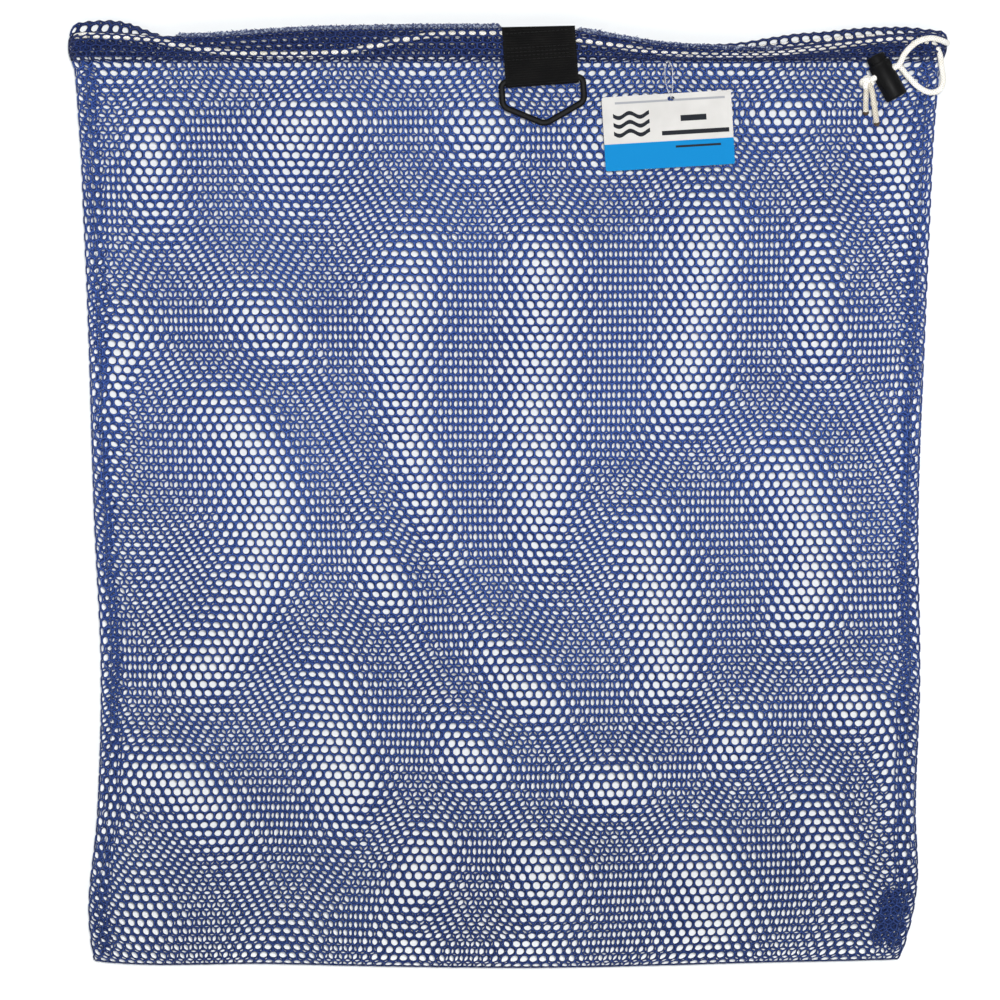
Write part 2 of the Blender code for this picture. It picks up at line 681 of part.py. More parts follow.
def main():
    clear_scene()
    net = make_material("net_blue", (0.035, 0.062, 0.220), 0.62)
    seam = make_material("seam_navy", (0.022, 0.040, 0.150), 0.70)
    webbing = make_material("webbing_black", (0.010, 0.010, 0.011), 0.72)
    plastic = make_material("plastic_black", (0.012, 0.012, 0.013), 0.42)
    cord = make_material("cord_white", (0.72, 0.70, 0.65), 0.78)
    melted = make_material("cord_melted", (0.10, 0.08, 0.06), 0.45)
    thread = make_material("thread_navy", (0.012, 0.020, 0.070), 0.65)
    black_thread = make_material("thread_black", (0.014, 0.014, 0.015), 0.65)
    card = make_material("card_white", (0.76, 0.74, 0.72), 0.50)
    clear_plastic = make_material("plastic_clear", (0.85, 0.87, 0.90), 0.20, alpha=0.5)
    steel = make_material("steel", (0.56, 0.57, 0.58), 0.30, metallic=1.0)

    build_nets(net, seam, thread)
    build_bottom_fold(seam)
    build_hems(net, thread)
    build_strap(webbing, black_thread)
    build_ring(plastic)
    build_tag(card, clear_plastic)
    build_lock(plastic, steel)
    build_cord(cord, melted)


main()
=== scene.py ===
"""Looks of the hexagonal-mesh drawstring bag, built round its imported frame.

X runs across the bag, Z is up and the front faces -Y, in metres. The nets, hems and seam
allowances are one knitted lattice: place_cloth() turns cloth coordinates, counted in columns
and rows of holes, into a place on the bag.
"""
import math

import bmesh
import bpy
import numpy as np
from mathutils import Matrix, Vector


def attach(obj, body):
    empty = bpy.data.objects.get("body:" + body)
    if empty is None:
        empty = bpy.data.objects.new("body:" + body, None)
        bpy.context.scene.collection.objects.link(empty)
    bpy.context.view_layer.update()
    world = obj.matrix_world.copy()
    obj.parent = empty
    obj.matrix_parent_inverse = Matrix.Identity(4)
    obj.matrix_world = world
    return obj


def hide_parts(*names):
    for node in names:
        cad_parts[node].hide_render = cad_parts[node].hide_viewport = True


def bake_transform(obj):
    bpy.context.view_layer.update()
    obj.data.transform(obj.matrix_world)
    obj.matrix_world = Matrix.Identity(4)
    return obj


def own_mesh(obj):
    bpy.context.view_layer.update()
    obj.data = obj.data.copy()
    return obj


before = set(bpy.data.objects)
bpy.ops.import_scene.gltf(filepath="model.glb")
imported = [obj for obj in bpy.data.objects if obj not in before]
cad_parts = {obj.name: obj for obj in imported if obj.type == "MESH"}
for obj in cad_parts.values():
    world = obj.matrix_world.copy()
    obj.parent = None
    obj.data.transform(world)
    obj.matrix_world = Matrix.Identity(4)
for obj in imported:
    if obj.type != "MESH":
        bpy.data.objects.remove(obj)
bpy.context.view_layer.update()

# Knit: one hole is a column wide and a row high. The back net is a little more stretched, so
# it has fewer columns and rows of holes, and the two nets drift in and out of step.
COLUMNS = 88
ROWS = 110
BACK_COLUMNS = 82
BACK_ROWS = 105
BACK_FIRST_COLUMN = 3.5
BACK_FIRST_ROW = 3
FRONT_HEM_ROWS = 12
BACK_HEM_ROWS = 9
COLUMN = 0.0065
ROW = 0.00563
STRAND_HALF = 0.00052
NET_TOP = -0.0225
NET_DEPTH = 0.0065
RIM_RADIUS = 0.0062
CORNERS = np.array(((0, 2 / 3), (0.5, 1 / 3), (0.5, -1 / 3), (0, -2 / 3), (-0.5, -1 / 3), (-0.5, 1 / 3)))

# Places shared with the CAD source
HEM_DEPTH = 0.0085
CORNER_X = -0.289
CORD_RADIUS = 0.002
STRAP_HINGE = Vector((0.0225, -0.01475, -0.025))
STRAP_TILT = math.radians(4.0)
LOOP_DROP = 0.0112
RING_BAR = 0.0045
RING_HALF_WIDTH = 0.028
RING_SIDE = 0.0168
RING_HEIGHT = 0.0292
CARD_SIZE = (0.0889, 0.0508, 0.0005)
CARD_CENTRE = Vector((0.110, -0.01105, -0.071))
CARD_TILT = math.radians(3.4)
CARD_SLOT = Vector((0.1118, -0.01105, -0.0489))
LOCK_CENTRE = Vector((0.2578, -0.0215, -0.034))
LOCK_TILT = math.radians(-28.2)
LOCK_LENGTH = 0.031
BARREL_LENGTH = 0.025
BARREL_RADIUS = 0.00785
BORE_RADIUS = 0.0069
PLUNGER_RADIUS = 0.0066
PLUNGER_FOOT = 0.0115
BUTTON_TRAVEL = 0.004
CORD_HOLE_HEIGHT = 0.0172
CORD_HOLE_HALF = 0.0024
CORD_SLOT_WIDTH = 0.0092
CORD_SLOT_CORNER = 0.0023
STRAND_SPREAD = 0.00215
KNOT_RADIUS = 0.0048
KNOT_GAP = 0.0003


def metres(*points):
    """Points given in millimetres."""
    return tuple(tuple(value / 1000 for value in point) for point in points)


# Side edges from the bottom up, as (z, x), in millimetres
LEFT_EDGE = metres(
    (-646, -283.5), (-638, -285.5), (-620, -288), (-540, -282.5), (-455, -280), (-330, -285),
    (-200, -289), (-120, -292.5), (-84, -294), (-58, -295.8), (-38, -297.2), (-27, -298.5),
    (-16.8, -302), (-6, -301.9), (0, -300.3), (6, -296),
)
RIGHT_EDGE = metres(
    (-646, 264), (-641, 268), (-620, 276), (-590, 281.5), (-540, 280.5), (-455, 283.5), (-330, 282.5),
    (-200, 287.5), (-120, 291), (-75, 293), (-45, 295.5), (-27, 297.5), (-12, 302), (-4, 301.5),
    (3, 296),
)
SIDES = (("left", LEFT_EDGE, 1), ("right", RIGHT_EDGE, -1))
# Bottom rim, hem tops and the cord's height inside each hem, as (x, z), in millimetres
BOTTOM_LINE = metres(
    (-290, -640), (-274, -642), (-155, -643.5), (-88, -645), (50, -646), (118, -644.5), (187, -642.5),
    (258, -641), (290, -640),
)
FRONT_TOP_LINE = metres(
    (-300, -7.5), (-280, -3.5), (-262, -3.3), (-240, -5.5), (-215, -6), (-185, -4.5), (-150, -2),
    (-85, -0.2), (0, 0), (45, -1.6), (85, -8.2), (118, -11.2), (152, -13.2), (187, -13.2), (212, -10.2),
    (240, -6.5), (262, -4.2), (280, -3.6), (300, -7.5),
)
BACK_TOP_LINE = metres(
    (-300, 3), (-290, 6.2), (-280, 7.2), (-270, 7.2), (-256, 4.6), (-239, -1), (-229, -4.2),
    (-218.6, -5.2), (-200, -4.8), (-150, -1.8), (-85, -0.4), (0, -0.4), (45, -2), (85, -6.2),
    (118, -8.8), (152, -8.6), (173, -5.2), (194, -2), (214.5, -0.5), (235, 1.6), (256, 2.6), (283, 1.6),
    (295, -1), (302, -5),
)
FRONT_CORD_LINE = metres(
    (-292, -5), (-240, -9), (-220, -13.5), (-190, -17), (-150, -18.5), (-110, -16), (-85, -11),
    (-60, -6), (-20, -4.2), (30, -6), (55, -9), (80, -13.5), (110, -17.5), (150, -19), (190, -17),
    (212, -14), (240, -10.5), (268, -8), (290, -9.5),
)
BACK_CORD_LINE = metres(
    (-292, -5), (-250, -4.5), (-212, -9), (-150, -10), (-60, -8), (45, -8), (118, -13.5), (152, -13.5),
    (200, -9), (250, -4.5), (300, -6),
)
# Free strands from the hem to the lock, the two tails and the tag's loop, in millimetres
UPPER_STRAND = metres(
    (296.2, 8.5, -6), (297.4, 8.5, -6), (300.8, 6.4, -7.2), (302.4, 0.8, -9.2), (301.2, -6.2, -10),
    (296.4, -13.2, -9), (289.3, -17.2, -8.2), (281.5, -19.3, -10.2), (275.2, -20.9, -14.8),
    (270.6, -22.2, -20.2),
)
LOWER_STRAND = metres(
    (286.2, -8.5, -9.2), (288.3, -8.5, -9.4), (293, -9.2, -12), (296.2, -11, -18.5),
    (297.4, -13.2, -27.5), (298.2, -14.8, -36.6), (296, -16, -42.8), (291.2, -16.8, -45.2),
    (285.8, -17.5, -44.4), (279.4, -18.4, -40.4), (273, -19.4, -34),
)
LEFT_TAIL = metres(
    (245.2, -20.6, -40), (245, -20.3, -43.8), (244.9, -19.2, -49), (244.9, -17, -54),
    (245.2, -15, -58.4),
)
RIGHT_TAIL = metres(
    (247, -22.6, -40), (248.4, -23.2, -44), (249.6, -22.4, -50), (251, -20, -58), (252.4, -16.8, -66),
)
TAG_LOOP = metres(
    (110, -10.4, -23.8), (107.8, -10.9, -26.8), (107.9, -11.9, -36), (109.8, -12.7, -44),
    (111.3, -12.6, -47.4), (111.8, -11.05, -48.9), (112.3, -9.5, -47.4), (112.8, -9.5, -44),
    (113, -10.1, -36), (112.4, -10.4, -26.8),
)

# How far the back net is out of step with the front one, as (x, z, columns, rows), with its
# place in millimetres. A whole step of the lattice lines the holes up and reads as a bright
# patch.
SLIP_PLACES = (
    (-222, -108, -2.5, 1), (-131, -80, -1.5, 1), (-16, -80, -0.5, 1), (63, -84, 0.5, 1),
    (173, -56, 1.5, 1), (235, -70, 2.5, 1), (-146, -211, -2, 0), (-67, -214, -1, 0),
    (-66, -276, -1, 0), (19, -214, 0, 0), (22, -283, 0, 0), (25, -350, 0, -0.1), (125, -146, 1, 0.1),
    (121, -208, 1, 0), (111, -262, 1, 0), (192, -214, 2, 0), (249, -221, 2.8, 0),
    (180, -304, 1.5, -1), (197, -366, 1.5, -1), (-165, -275, -2.5, -1), (-143, -318, -2.5, -1),
    (-167, -386, -2.5, -1), (84, -366, 0.5, -1), (101, -428, 0.5, -1), (-122, -434, -2, -2),
    (-109, -489, -2, -2), (-208, -506, -3, -2), (146, -482, 1, -2), (221, -455, 2, -2),
    (25, -555, -0.5, -3), (125, -555, 0.5, -3), (-50, -551, -1.5, -3), (229, -608, 1.5, -3),
    (-231, -592, -3.5, -3), (-132, -612, -2.5, -3),
)
SLIP_REACH = 0.085


def add_object(name, data):
    """A new object in the scene."""
    obj = bpy.data.objects.new(name, data)
    bpy.context.scene.collection.objects.link(obj)
    return obj


# Camera

CAMERA_DISTANCE = 2.8
VIEW_WIDTH = 0.6873
VIEW_CENTRE = Vector((-0.0055, -0.0065, -0.3244))


def add_camera():
    data = bpy.data.cameras.new("Camera")
    data.angle = 2 * math.atan(VIEW_WIDTH / 2 / CAMERA_DISTANCE)
    camera = add_object("Camera", data)
    camera.location = VIEW_CENTRE - Vector((0, CAMERA_DISTANCE, 0))
    camera.rotation_euler = (math.radians(90), 0, 0)
    bpy.context.scene.camera = camera


# Node materials

class Paint:
    """A new node material, with short calls for the nodes it is made of."""

    def __init__(self, name, sheen=0.0, metallic=0.0, specular=0.5):
        self.material = bpy.data.materials.new(name)
        self.material.use_nodes = True
        self.tree = self.material.node_tree
        self.shader = self.tree.nodes["Principled BSDF"]
        self.set("Metallic", metallic)
        self.set("Sheen Weight", sheen)
        self.set("Sheen Roughness", 0.4)
        self.set("Specular IOR Level", specular)

    def put(self, socket, value):
        """Links a value to a socket, or sets it on the socket."""
        if isinstance(value, bpy.types.NodeSocket):
            self.tree.links.new(value, socket)
        elif socket.type == "RGBA":
            socket.default_value = (*value, 1)
        else:
            socket.default_value = value

    def set(self, name, value):
        self.put(self.shader.inputs[name], value)

    def add(self, kind, inputs=None, **settings):
        node = self.tree.nodes.new("ShaderNode" + kind)
        for key, value in settings.items():
            setattr(node, key, value)
        for key, value in (inputs or {}).items():
            self.put(node.inputs[key], value)
        return node

    def maths(self, operation, first, second=0.0):
        return self.add("Math", {0: first, 1: second}, operation=operation).outputs[0]

    def sine(self, value, turns):
        return self.maths("SINE", self.maths("MULTIPLY", value, 2 * math.pi * turns))

    def between(self, value, low, high):
        """Brings a value of 0 to 1 between low and high."""
        return self.add("MapRange", {"Value": value, "To Min": low, "To Max": high}).outputs[0]

    def fibrous(self, relief, fibres, share):
        """A relief with a share of fibres added."""
        return self.maths("ADD", relief, self.maths("MULTIPLY", fibres, share))

    def ramp(self, value, *stops):
        """A colour ramp of (position, colour) stops."""
        node = self.add("ValToRGB", {"Fac": value})
        elements = node.color_ramp.elements
        while len(elements) < len(stops):
            elements.new(0.5)
        for element, (position, colour) in zip(elements, stops):
            element.position = position
            element.color = (*colour, 1)
        return node.outputs["Color"]

    def noise(self, scale, detail=3.0, place=None):
        place = place or self.place()
        node = self.add("TexNoise", {"Vector": place, "Scale": scale, "Detail": detail})
        return node.outputs["Fac"]

    def place(self):
        return self.add("TexCoord").outputs["Object"]

    def mix(self, share, first, second, blend="MIX"):
        inputs = {0: share, 6: first, 7: second}
        return self.add("Mix", inputs, data_type="RGBA", blend_type=blend).outputs[2]

    def tint(self, first, second):
        return self.mix(1.0, first, second, "MULTIPLY")

    def face_map(self, name="Strand"):
        """U and V of a piece's map."""
        uv = self.add("UVMap", uv_map=name).outputs["UV"]
        parts = self.add("SeparateXYZ", {0: uv}).outputs
        return parts["X"], parts["Y"]

    def strand(self, turns, lean):
        """A strand's twist from its map: along is U and across, 0 on the ridge to 1, is V."""
        u, v = self.face_map()
        along = self.maths("MULTIPLY", u, turns)
        turned = self.maths("ADD", along, self.maths("MULTIPLY", v, lean))
        phase = self.maths("MULTIPLY", turned, 2 * math.pi)
        wave = self.maths("MULTIPLY", self.maths("COSINE", phase), 0.5)
        return self.maths("ADD", wave, 0.5), v

    def rectangle(self, u, v, low, high):
        """1 inside a rectangle of the piece's map, from its low to its high corner."""
        inside = self.maths("GREATER_THAN", u, low[0])
        for operation, value, limit in (
            ("LESS_THAN", u, high[0]), ("GREATER_THAN", v, low[1]), ("LESS_THAN", v, high[1]),
        ):
            inside = self.maths("MULTIPLY", inside, self.maths(operation, value, limit))
        return inside

    def finish(self, colour, rough, height, distance, strength=1.0):
        """Puts a colour, a (value, low, high) roughness and a bump on the shader."""
        self.set("Base Color", colour)
        self.set("Roughness", self.between(*rough))
        bump = self.add("Bump", {"Height": height, "Strength": strength, "Distance": distance})
        self.set("Normal", bump.outputs["Normal"])
        return self.material


def knit_material(name, ridge, flank, groove):
    """Knitted polyester: painted highlights on the ridges, painted shade on the flanks and grooves and
    along a yarn twist, faint fading, and painted shade that darkens it towards the bottom.
    """
    paint = Paint(name, sheen=0.03, specular=0.25)
    wave, across = paint.strand(3.0, 0.55)
    # Painted highlight on each strand's ridge, painted shade down its flanks and in its groove
    base = paint.ramp(across, (0.0, ridge), (0.55, flank), (1.0, groove))
    # Painted shade: the yarn's twist is darkened towards the groove colour
    twist = paint.mix(paint.between(wave, 0.45, 0.0), base, groove)
    light = paint.ramp(paint.noise(11.0), (0.3, (0.78, 0.80, 0.86)), (0.7, (1.18, 1.14, 1.08)))
    fibres = paint.noise(2600.0, 2.0)
    speck = paint.ramp(fibres, (0.35, (0.75, 0.75, 0.78)), (0.68, (1.35, 1.3, 1.2)))
    # Painted shade: the colour is darkened towards the bottom of the bag, to half at z = -0.65 and below
    height = paint.add("SeparateXYZ", {0: paint.place()}).outputs["Z"]
    share = paint.add("MapRange", {"Value": height, "From Min": -0.65, "From Max": -0.30})
    painted_bottom_shade = paint.ramp(share.outputs[0], (0.0, (0.50, 0.50, 0.52)), (1.0, (1.0, 1.0, 1.0)))
    colour = paint.tint(paint.tint(paint.tint(twist, light), painted_bottom_shade), speck)
    return paint.finish(colour, (fibres, 0.42, 0.75), paint.fibrous(wave, fibres, 0.35), 0.00022)


def cord_material(name, light, dark, strands):
    """Braided cord: two sets of crossing strands, painted shade between the strands, fibres and a little
    soiling.
    """
    paint = Paint(name, sheen=0.35, specular=0.4)
    u, v = paint.face_map()
    around = paint.maths("MULTIPLY", v, strands * math.pi)
    families = []
    for lean in (1.0, -1.0):
        phase = paint.maths("ADD", around, paint.maths("MULTIPLY", u, lean * strands))
        families.append(paint.maths("ABSOLUTE", paint.maths("SINE", phase)))
    braid = paint.maths("MAXIMUM", *families)
    fibres = paint.noise(3200.0, 2.0)
    # Painted shade: the colour goes from light on the strands' crests to dark between them
    base = paint.ramp(braid, (0.45, dark), (0.95, light))
    grime = paint.ramp(paint.noise(160.0), (0.35, (0.86, 0.84, 0.79)), (0.65, (1.0, 1.0, 1.0)))
    relief = paint.fibrous(braid, fibres, 0.3)
    return paint.finish(paint.tint(base, grime), (fibres, 0.6, 0.9), relief, 0.00025)


def thread_material(name, light, dark):
    paint = Paint(name, sheen=0.05, specular=0.2)
    wave, _ = paint.strand(9.0, 2.0)
    fibres = paint.noise(2200.0, 2.0)
    relief = paint.fibrous(wave, fibres, 0.4)
    # Painted highlight on the twist's turns and painted shade in its grooves
    return paint.finish(paint.mix(wave, dark, light), (fibres, 0.5, 0.8), relief, 0.0001)


def fuzz_material():
    """Cut, frayed yarn along the raw edge."""
    paint = Paint("Frayed_Yarn", sheen=0.5)
    stops = ((0.36, (0.008, 0.014, 0.060)), (0.5, (0.040, 0.060, 0.16)), (0.60, (0.30, 0.34, 0.42)))
    colour = paint.ramp(paint.noise(620.0), *stops)
    fibres = paint.noise(3000.0, 2.0)
    return paint.finish(colour, (fibres, 0.6, 0.9), fibres, 0.0002)


def webbing_material():
    """Black ribbed webbing: weft ribs are geometry; warp ends, dust and a painted highlight on the ribs'
    crests are here.
    """
    paint = Paint("Black_Webbing", sheen=0.02, specular=0.12)
    u, v = paint.face_map()
    weft = paint.sine(u, 1)
    weave = paint.maths("MULTIPLY", paint.sine(v, 62), weft)
    fibres = paint.noise(1900.0, 2.0)
    # Painted highlight: each weft rib is lighter on its crest
    lit = paint.between(weft, 0.25, 0.75)
    base = paint.mix(lit, (0.0008, 0.0008, 0.0008), (0.0100, 0.0098, 0.0096))
    dust = paint.ramp(paint.noise(90.0), (0.4, (0.75, 0.75, 0.8)), (0.75, (1.5, 1.5, 1.45)))
    relief = paint.fibrous(weave, fibres, 0.5)
    return paint.finish(paint.tint(base, dust), (fibres, 0.55, 0.85), relief, 0.00015)


def plastic_material(name, colour, roughness):
    """Moulded plastic: fine grain, rubbed patches and a few scuffs."""
    paint = Paint(name, specular=0.10)
    rubbed = paint.noise(130.0)
    stretch = {"Vector": paint.place(), "Scale": (900.0, 900.0, 90.0)}
    scuffs = paint.noise(1.0, 4.0, paint.add("Mapping", stretch).outputs["Vector"])
    worn = tuple(min(1.0, channel * 2.0 + 0.004) for channel in colour)
    base = paint.mix(paint.between(rubbed, 0.0, 0.35), colour, worn)
    marks = paint.ramp(scuffs, (0.62, (1.0, 1.0, 1.0)), (0.72, (1.7, 1.7, 1.7)))
    relief = paint.fibrous(paint.noise(1700.0, 2.0), scuffs, 0.5)
    rough = (rubbed, roughness - 0.08, roughness + 0.14)
    return paint.finish(paint.tint(base, marks), rough, relief, 0.00006, 0.6)


PRINT_BLUE = (0.004, 0.19, 0.46)
PRINT_INK = (0.015, 0.017, 0.022)
PRINT_GREY = (0.30, 0.31, 0.33)
PRINT_BARS = (
    ((0.10, 0.895), (0.95, 0.925), PRINT_GREY), ((0.60, 0.62), (0.80, 0.70), PRINT_INK),
    ((0.45, 0.44), (0.97, 0.50), PRINT_INK), ((0.55, 0.265), (0.90, 0.295), PRINT_INK),
)


def card_material(printed):
    """Coated card: paper grain and, on its front, a blue band, waves and plain bars."""
    paint = Paint("Printed_Card" if printed else "Plain_Card", specular=0.1)
    fibres = paint.noise(1500.0, 4.0)
    clouds = paint.noise(60.0)
    colour = paint.ramp(clouds, (0.3, (0.51, 0.50, 0.485)), (0.7, (0.565, 0.555, 0.54)))
    if printed:
        u, v = paint.face_map("Face")
        colour = paint.mix(paint.maths("LESS_THAN", v, 0.36), colour, PRINT_BLUE)
        ripple = paint.maths("SINE", paint.maths("MULTIPLY", u, 38.0))
        level = paint.maths("SUBTRACT", v, paint.maths("MULTIPLY", ripple, 0.03))
        window = paint.rectangle(u, v, (0.08, 0.40), (0.36, 0.84))
        for height in (0.50, 0.62, 0.74):
            offset = paint.maths("ABSOLUTE", paint.maths("SUBTRACT", level, height))
            line = paint.maths("LESS_THAN", offset, 0.028)
            colour = paint.mix(paint.maths("MULTIPLY", line, window), colour, PRINT_INK)
        for low, high, ink in PRINT_BARS:
            colour = paint.mix(paint.rectangle(u, v, low, high), colour, ink)
    return paint.finish(colour, (fibres, 0.7, 0.9), fibres, 0.00002, 0.5)


def streaked(paint, scale, dark, light, rough, distance):
    streaks = paint.noise(scale)
    colour = paint.ramp(streaks, (0.3, dark), (0.7, light))
    return paint.finish(colour, (streaks, *rough), streaks, distance)


def clear_material():
    paint = Paint("Clear_Nylon")
    paint.set("Transmission Weight", 0.8)
    paint.set("IOR", 1.5)
    return streaked(paint, 900.0, (0.82, 0.84, 0.88), (0.93, 0.94, 0.97), (0.18, 0.35), 0.00003)


def steel_material():
    paint = Paint("Spring_Steel", metallic=1.0)
    return streaked(paint, 1400.0, (0.46, 0.46, 0.47), (0.62, 0.62, 0.64), (0.22, 0.4), 0.00002)


# Mesh helpers

def mesh_object(name, vertices, faces, material, uvs):
    """A smooth object from arrays: faces are all alike, and uvs has one pair a corner."""
    faces = np.asarray(faces, np.int32)
    mesh = bpy.data.meshes.new(name)
    mesh.vertices.add(len(vertices))
    mesh.vertices.foreach_set("co", np.asarray(vertices, np.float32).ravel())
    mesh.loops.add(faces.size)
    mesh.loops.foreach_set("vertex_index", faces.ravel())
    mesh.polygons.add(len(faces))
    mesh.polygons.foreach_set("loop_start", np.arange(len(faces), dtype=np.int32) * faces.shape[1])
    mesh.update(calc_edges=True)
    layer = mesh.uv_layers.new(name="Strand")
    layer.uv.foreach_set("vector", np.asarray(uvs, np.float32).ravel())
    mesh.validate()
    mesh.shade_smooth()
    mesh.materials.append(material)
    return add_object(name, mesh)


SMOOTH_ANGLE = math.radians(35)


def settle(bm, mesh):
    """Turns a bmesh's faces outwards and puts it in a mesh."""
    bmesh.ops.recalc_face_normals(bm, faces=bm.faces)
    bm.to_mesh(mesh)
    bm.free()


def object_from_bmesh(name, bm, material):
    mesh = bpy.data.meshes.new(name)
    settle(bm, mesh)
    mesh.shade_smooth()
    mesh.set_sharp_from_angle(angle=SMOOTH_ANGLE)
    mesh.materials.append(material)
    return add_object(name, mesh)


def unit(directions):
    """Directions brought to a length of one."""
    return directions / np.maximum(np.linalg.norm(directions, axis=-1, keepdims=True), 1e-12)


def stack_points(x, y, z):
    return np.stack(np.broadcast_arrays(x, y, z), -1)


def line_value(line, at):
    """Height of a smooth curve through a line's (place, value) points."""
    place, value = np.array(line, float).T
    at = np.clip(np.asarray(at, float), place[0], place[-1])
    slope = np.gradient(value, place)
    index = np.clip(np.searchsorted(place, at, side="right") - 1, 0, len(place) - 2)
    span = place[index + 1] - place[index]
    t = (at - place[index]) / span
    return (
        (2 * t ** 3 - 3 * t ** 2 + 1) * value[index]
        + (t ** 3 - 2 * t ** 2 + t) * slope[index] * span
        + (3 * t ** 2 - 2 * t ** 3) * value[index + 1]
        + (t ** 3 - t ** 2) * slope[index + 1] * span
    )


def smooth_route(points, step, closed=False):
    """Points about one step apart on a smooth curve through a route's own points."""
    knots = [np.array(point, float) for point in points]
    if closed:
        padded = [knots[-1], *knots, knots[0], knots[1]]
    else:
        padded = [2 * knots[0] - knots[1], *knots, 2 * knots[-1] - knots[-2]]
    route = []
    for index in range(1, len(padded) - 2):
        p0, p1, p2, p3 = padded[index - 1:index + 3]
        count = max(1, round(float(np.linalg.norm(p2 - p1)) / step))
        for number in range(count):
            t = number / count
            route.append(0.5 * (
                2 * p1 + (p2 - p0) * t + (2 * p0 - 5 * p1 + 4 * p2 - p3) * t * t
                + (3 * p1 - p0 - 3 * p2 + p3) * t ** 3
            ))
    if not closed:
        route.append(knots[-1])
    return np.array(route)


def route_frames(route, closed):
    """Tangents and two cross directions along a route, carried along without twisting."""
    if closed:
        tangent = np.roll(route, -1, 0) - np.roll(route, 1, 0)
    else:
        tangent = np.gradient(route, axis=0)
    tangent = unit(tangent)
    start = np.array((0.0, 0.0, 1.0)) if abs(tangent[0][2]) < 0.8 else np.array((0.0, 1.0, 0.0))
    across = []
    for direction in tangent:
        start = unit(start - direction * (start @ direction))
        across.append(start)
    across = np.array(across)
    return across, np.cross(tangent, across)


def lengths_along(route):
    """Length from a route's start to each of its points."""
    steps = np.linalg.norm(np.diff(route, axis=0), axis=1)
    return np.concatenate(([0.0], np.cumsum(steps)))


def points_at(route, along, at):
    """Points of a route at given lengths along it."""
    return np.stack([np.interp(at, along, route[:, axis]) for axis in range(3)], -1)


def ring_surface(name, rings, length, around, material, closed=False):
    """A surface through rings of points, mapped by length along it and by place around it."""
    count, sides = rings.shape[:2]
    rows = np.arange(count if closed else count - 1)
    low, column = np.meshgrid(rows, np.arange(sides), indexing="ij")
    high = (low + 1) % count
    beside = (column + 1) % sides
    near, far = low * sides, high * sides
    faces = np.stack((near + column, near + beside, far + beside, far + column), -1)
    start, end = length[low], np.where(high == 0, length[-1] + 1, length[high])
    left, right = around[column], around[column + 1]
    corners = ((start, left), (start, right), (end, right), (end, left))
    uvs = np.stack([np.stack(corner, -1) for corner in corners], 2)
    return mesh_object(name, rings.reshape(-1, 3), faces.reshape(-1, 4), material, uvs)


def tube(name, route, radius, material, sides=16, closed=False, relief=None, scale=None, flat=1.0):
    """A tube along a route. relief(along, angle) scales its radius, and so does scale, per point."""
    route = np.asarray(route, float)
    across, up = route_frames(route, closed)
    along = lengths_along(route)
    angle = 2 * math.pi * np.arange(sides) / sides
    size = np.full((len(route), sides), radius)
    if scale is not None:
        size = size * np.asarray(scale)[:, None]
    if relief is not None:
        size = size * relief(along[:, None], angle[None, :])
    rings = (
        route[:, None, :] + (size * np.cos(angle))[..., None] * across[:, None, :]
        + (size * flat * np.sin(angle))[..., None] * up[:, None, :]
    )
    around = np.arange(sides + 1) / sides
    obj = ring_surface(name, rings, along / (2 * radius), around, material, closed)
    if not closed:
        close_ends(obj)
    return obj


def close_ends(obj):
    """Fills a surface's open ends."""
    bm = bmesh.new()
    bm.from_mesh(obj.data)
    bmesh.ops.holes_fill(bm, edges=[edge for edge in bm.edges if edge.is_boundary])
    settle(bm, obj.data)


def join(name, objects):
    """Joins loose objects of one material into a single piece."""
    for obj in bpy.context.selected_objects:
        obj.select_set(False)
    for obj in objects:
        obj.select_set(True)
    bpy.context.view_layer.objects.active = objects[0]
    bpy.ops.object.join()
    objects[0].name = name
    objects[0].data.name = name
    return objects[0]


# The front cloth's two halves; their x places, for leaning forward with the mouth, are not read here
MOUTH_BLENDS = {
    "left": ((-0.285, 0, 0), (-0.160, 0, 0)), "right": ((0.235, 0, 0), (0.160, 0, 0)),
}


def fit(obj, body, slot_name, *nodes):
    """Puts a piece on a body, or for one half of the front bakes its place into its mesh, and hides the CAD
    nodes it stands in place of.
    """
    if body in MOUTH_BLENDS:
        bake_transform(obj)
    else:
        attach(obj, body)
    if nodes:
        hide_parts(*nodes)


# The knitted cloth

def rim(distance, radius):
    """From cloth length past a folded rim: how far in it lies, and how open the fold is."""
    angle = np.clip(distance / radius, 0.0, math.pi / 2)
    beyond = np.maximum(distance - radius * math.pi / 2, 0.0)
    return radius * (1 - np.cos(angle)) + beyond, np.sin(angle)


def fade(value, low, high):
    share = np.clip((value - low) / (high - low), 0.0, 1.0)
    return share * share * (3 - 2 * share)


def wrinkle(x, z, side):
    """Soft folds of one net, in metres outwards."""
    lean = 1.0 if side < 0 else -0.7
    folds = (
        0.0013 * np.sin(23 * x + 14 * z * lean + 0.6) + 0.0010 * np.sin(41 * x * lean - 19 * z + 2.1)
        + 0.0008 * np.sin(17 * z + 33 * x + 4.0 * lean)
    )
    return np.clip(folds, -0.0026, 0.0034)


CLOTH_HEIGHT = 0.6225
CLOTH_WIDTH = 0.565


def even_slip(x, z):
    """Slip that comes from the back net's fewer columns and rows alone, at (x, z)."""
    across = (x / CLOTH_WIDTH + 0.5) * COLUMNS
    up = ((z - NET_TOP) / CLOTH_HEIGHT + 1) * ROWS
    columns = across * (1 - BACK_COLUMNS / COLUMNS) - BACK_FIRST_COLUMN
    rows = up * (1 - BACK_ROWS / ROWS) - BACK_FIRST_ROW
    return np.stack((columns, rows), -1)


def slip_weights():
    """Weights of a smooth field that brings the slip to its places' values."""
    table = np.array(SLIP_PLACES)
    places = table[:, :2] / 1000
    gaps = ((places[:, None] - places[None]) ** 2).sum(-1)
    kernel = np.exp(-gaps / (2 * SLIP_REACH ** 2)) + 0.015 * np.eye(len(places))
    extra = table[:, 2:] - even_slip(places[:, 0], places[:, 1])
    return places, np.linalg.solve(kernel, extra)


SLIP_POINTS, SLIP_WEIGHTS = slip_weights()


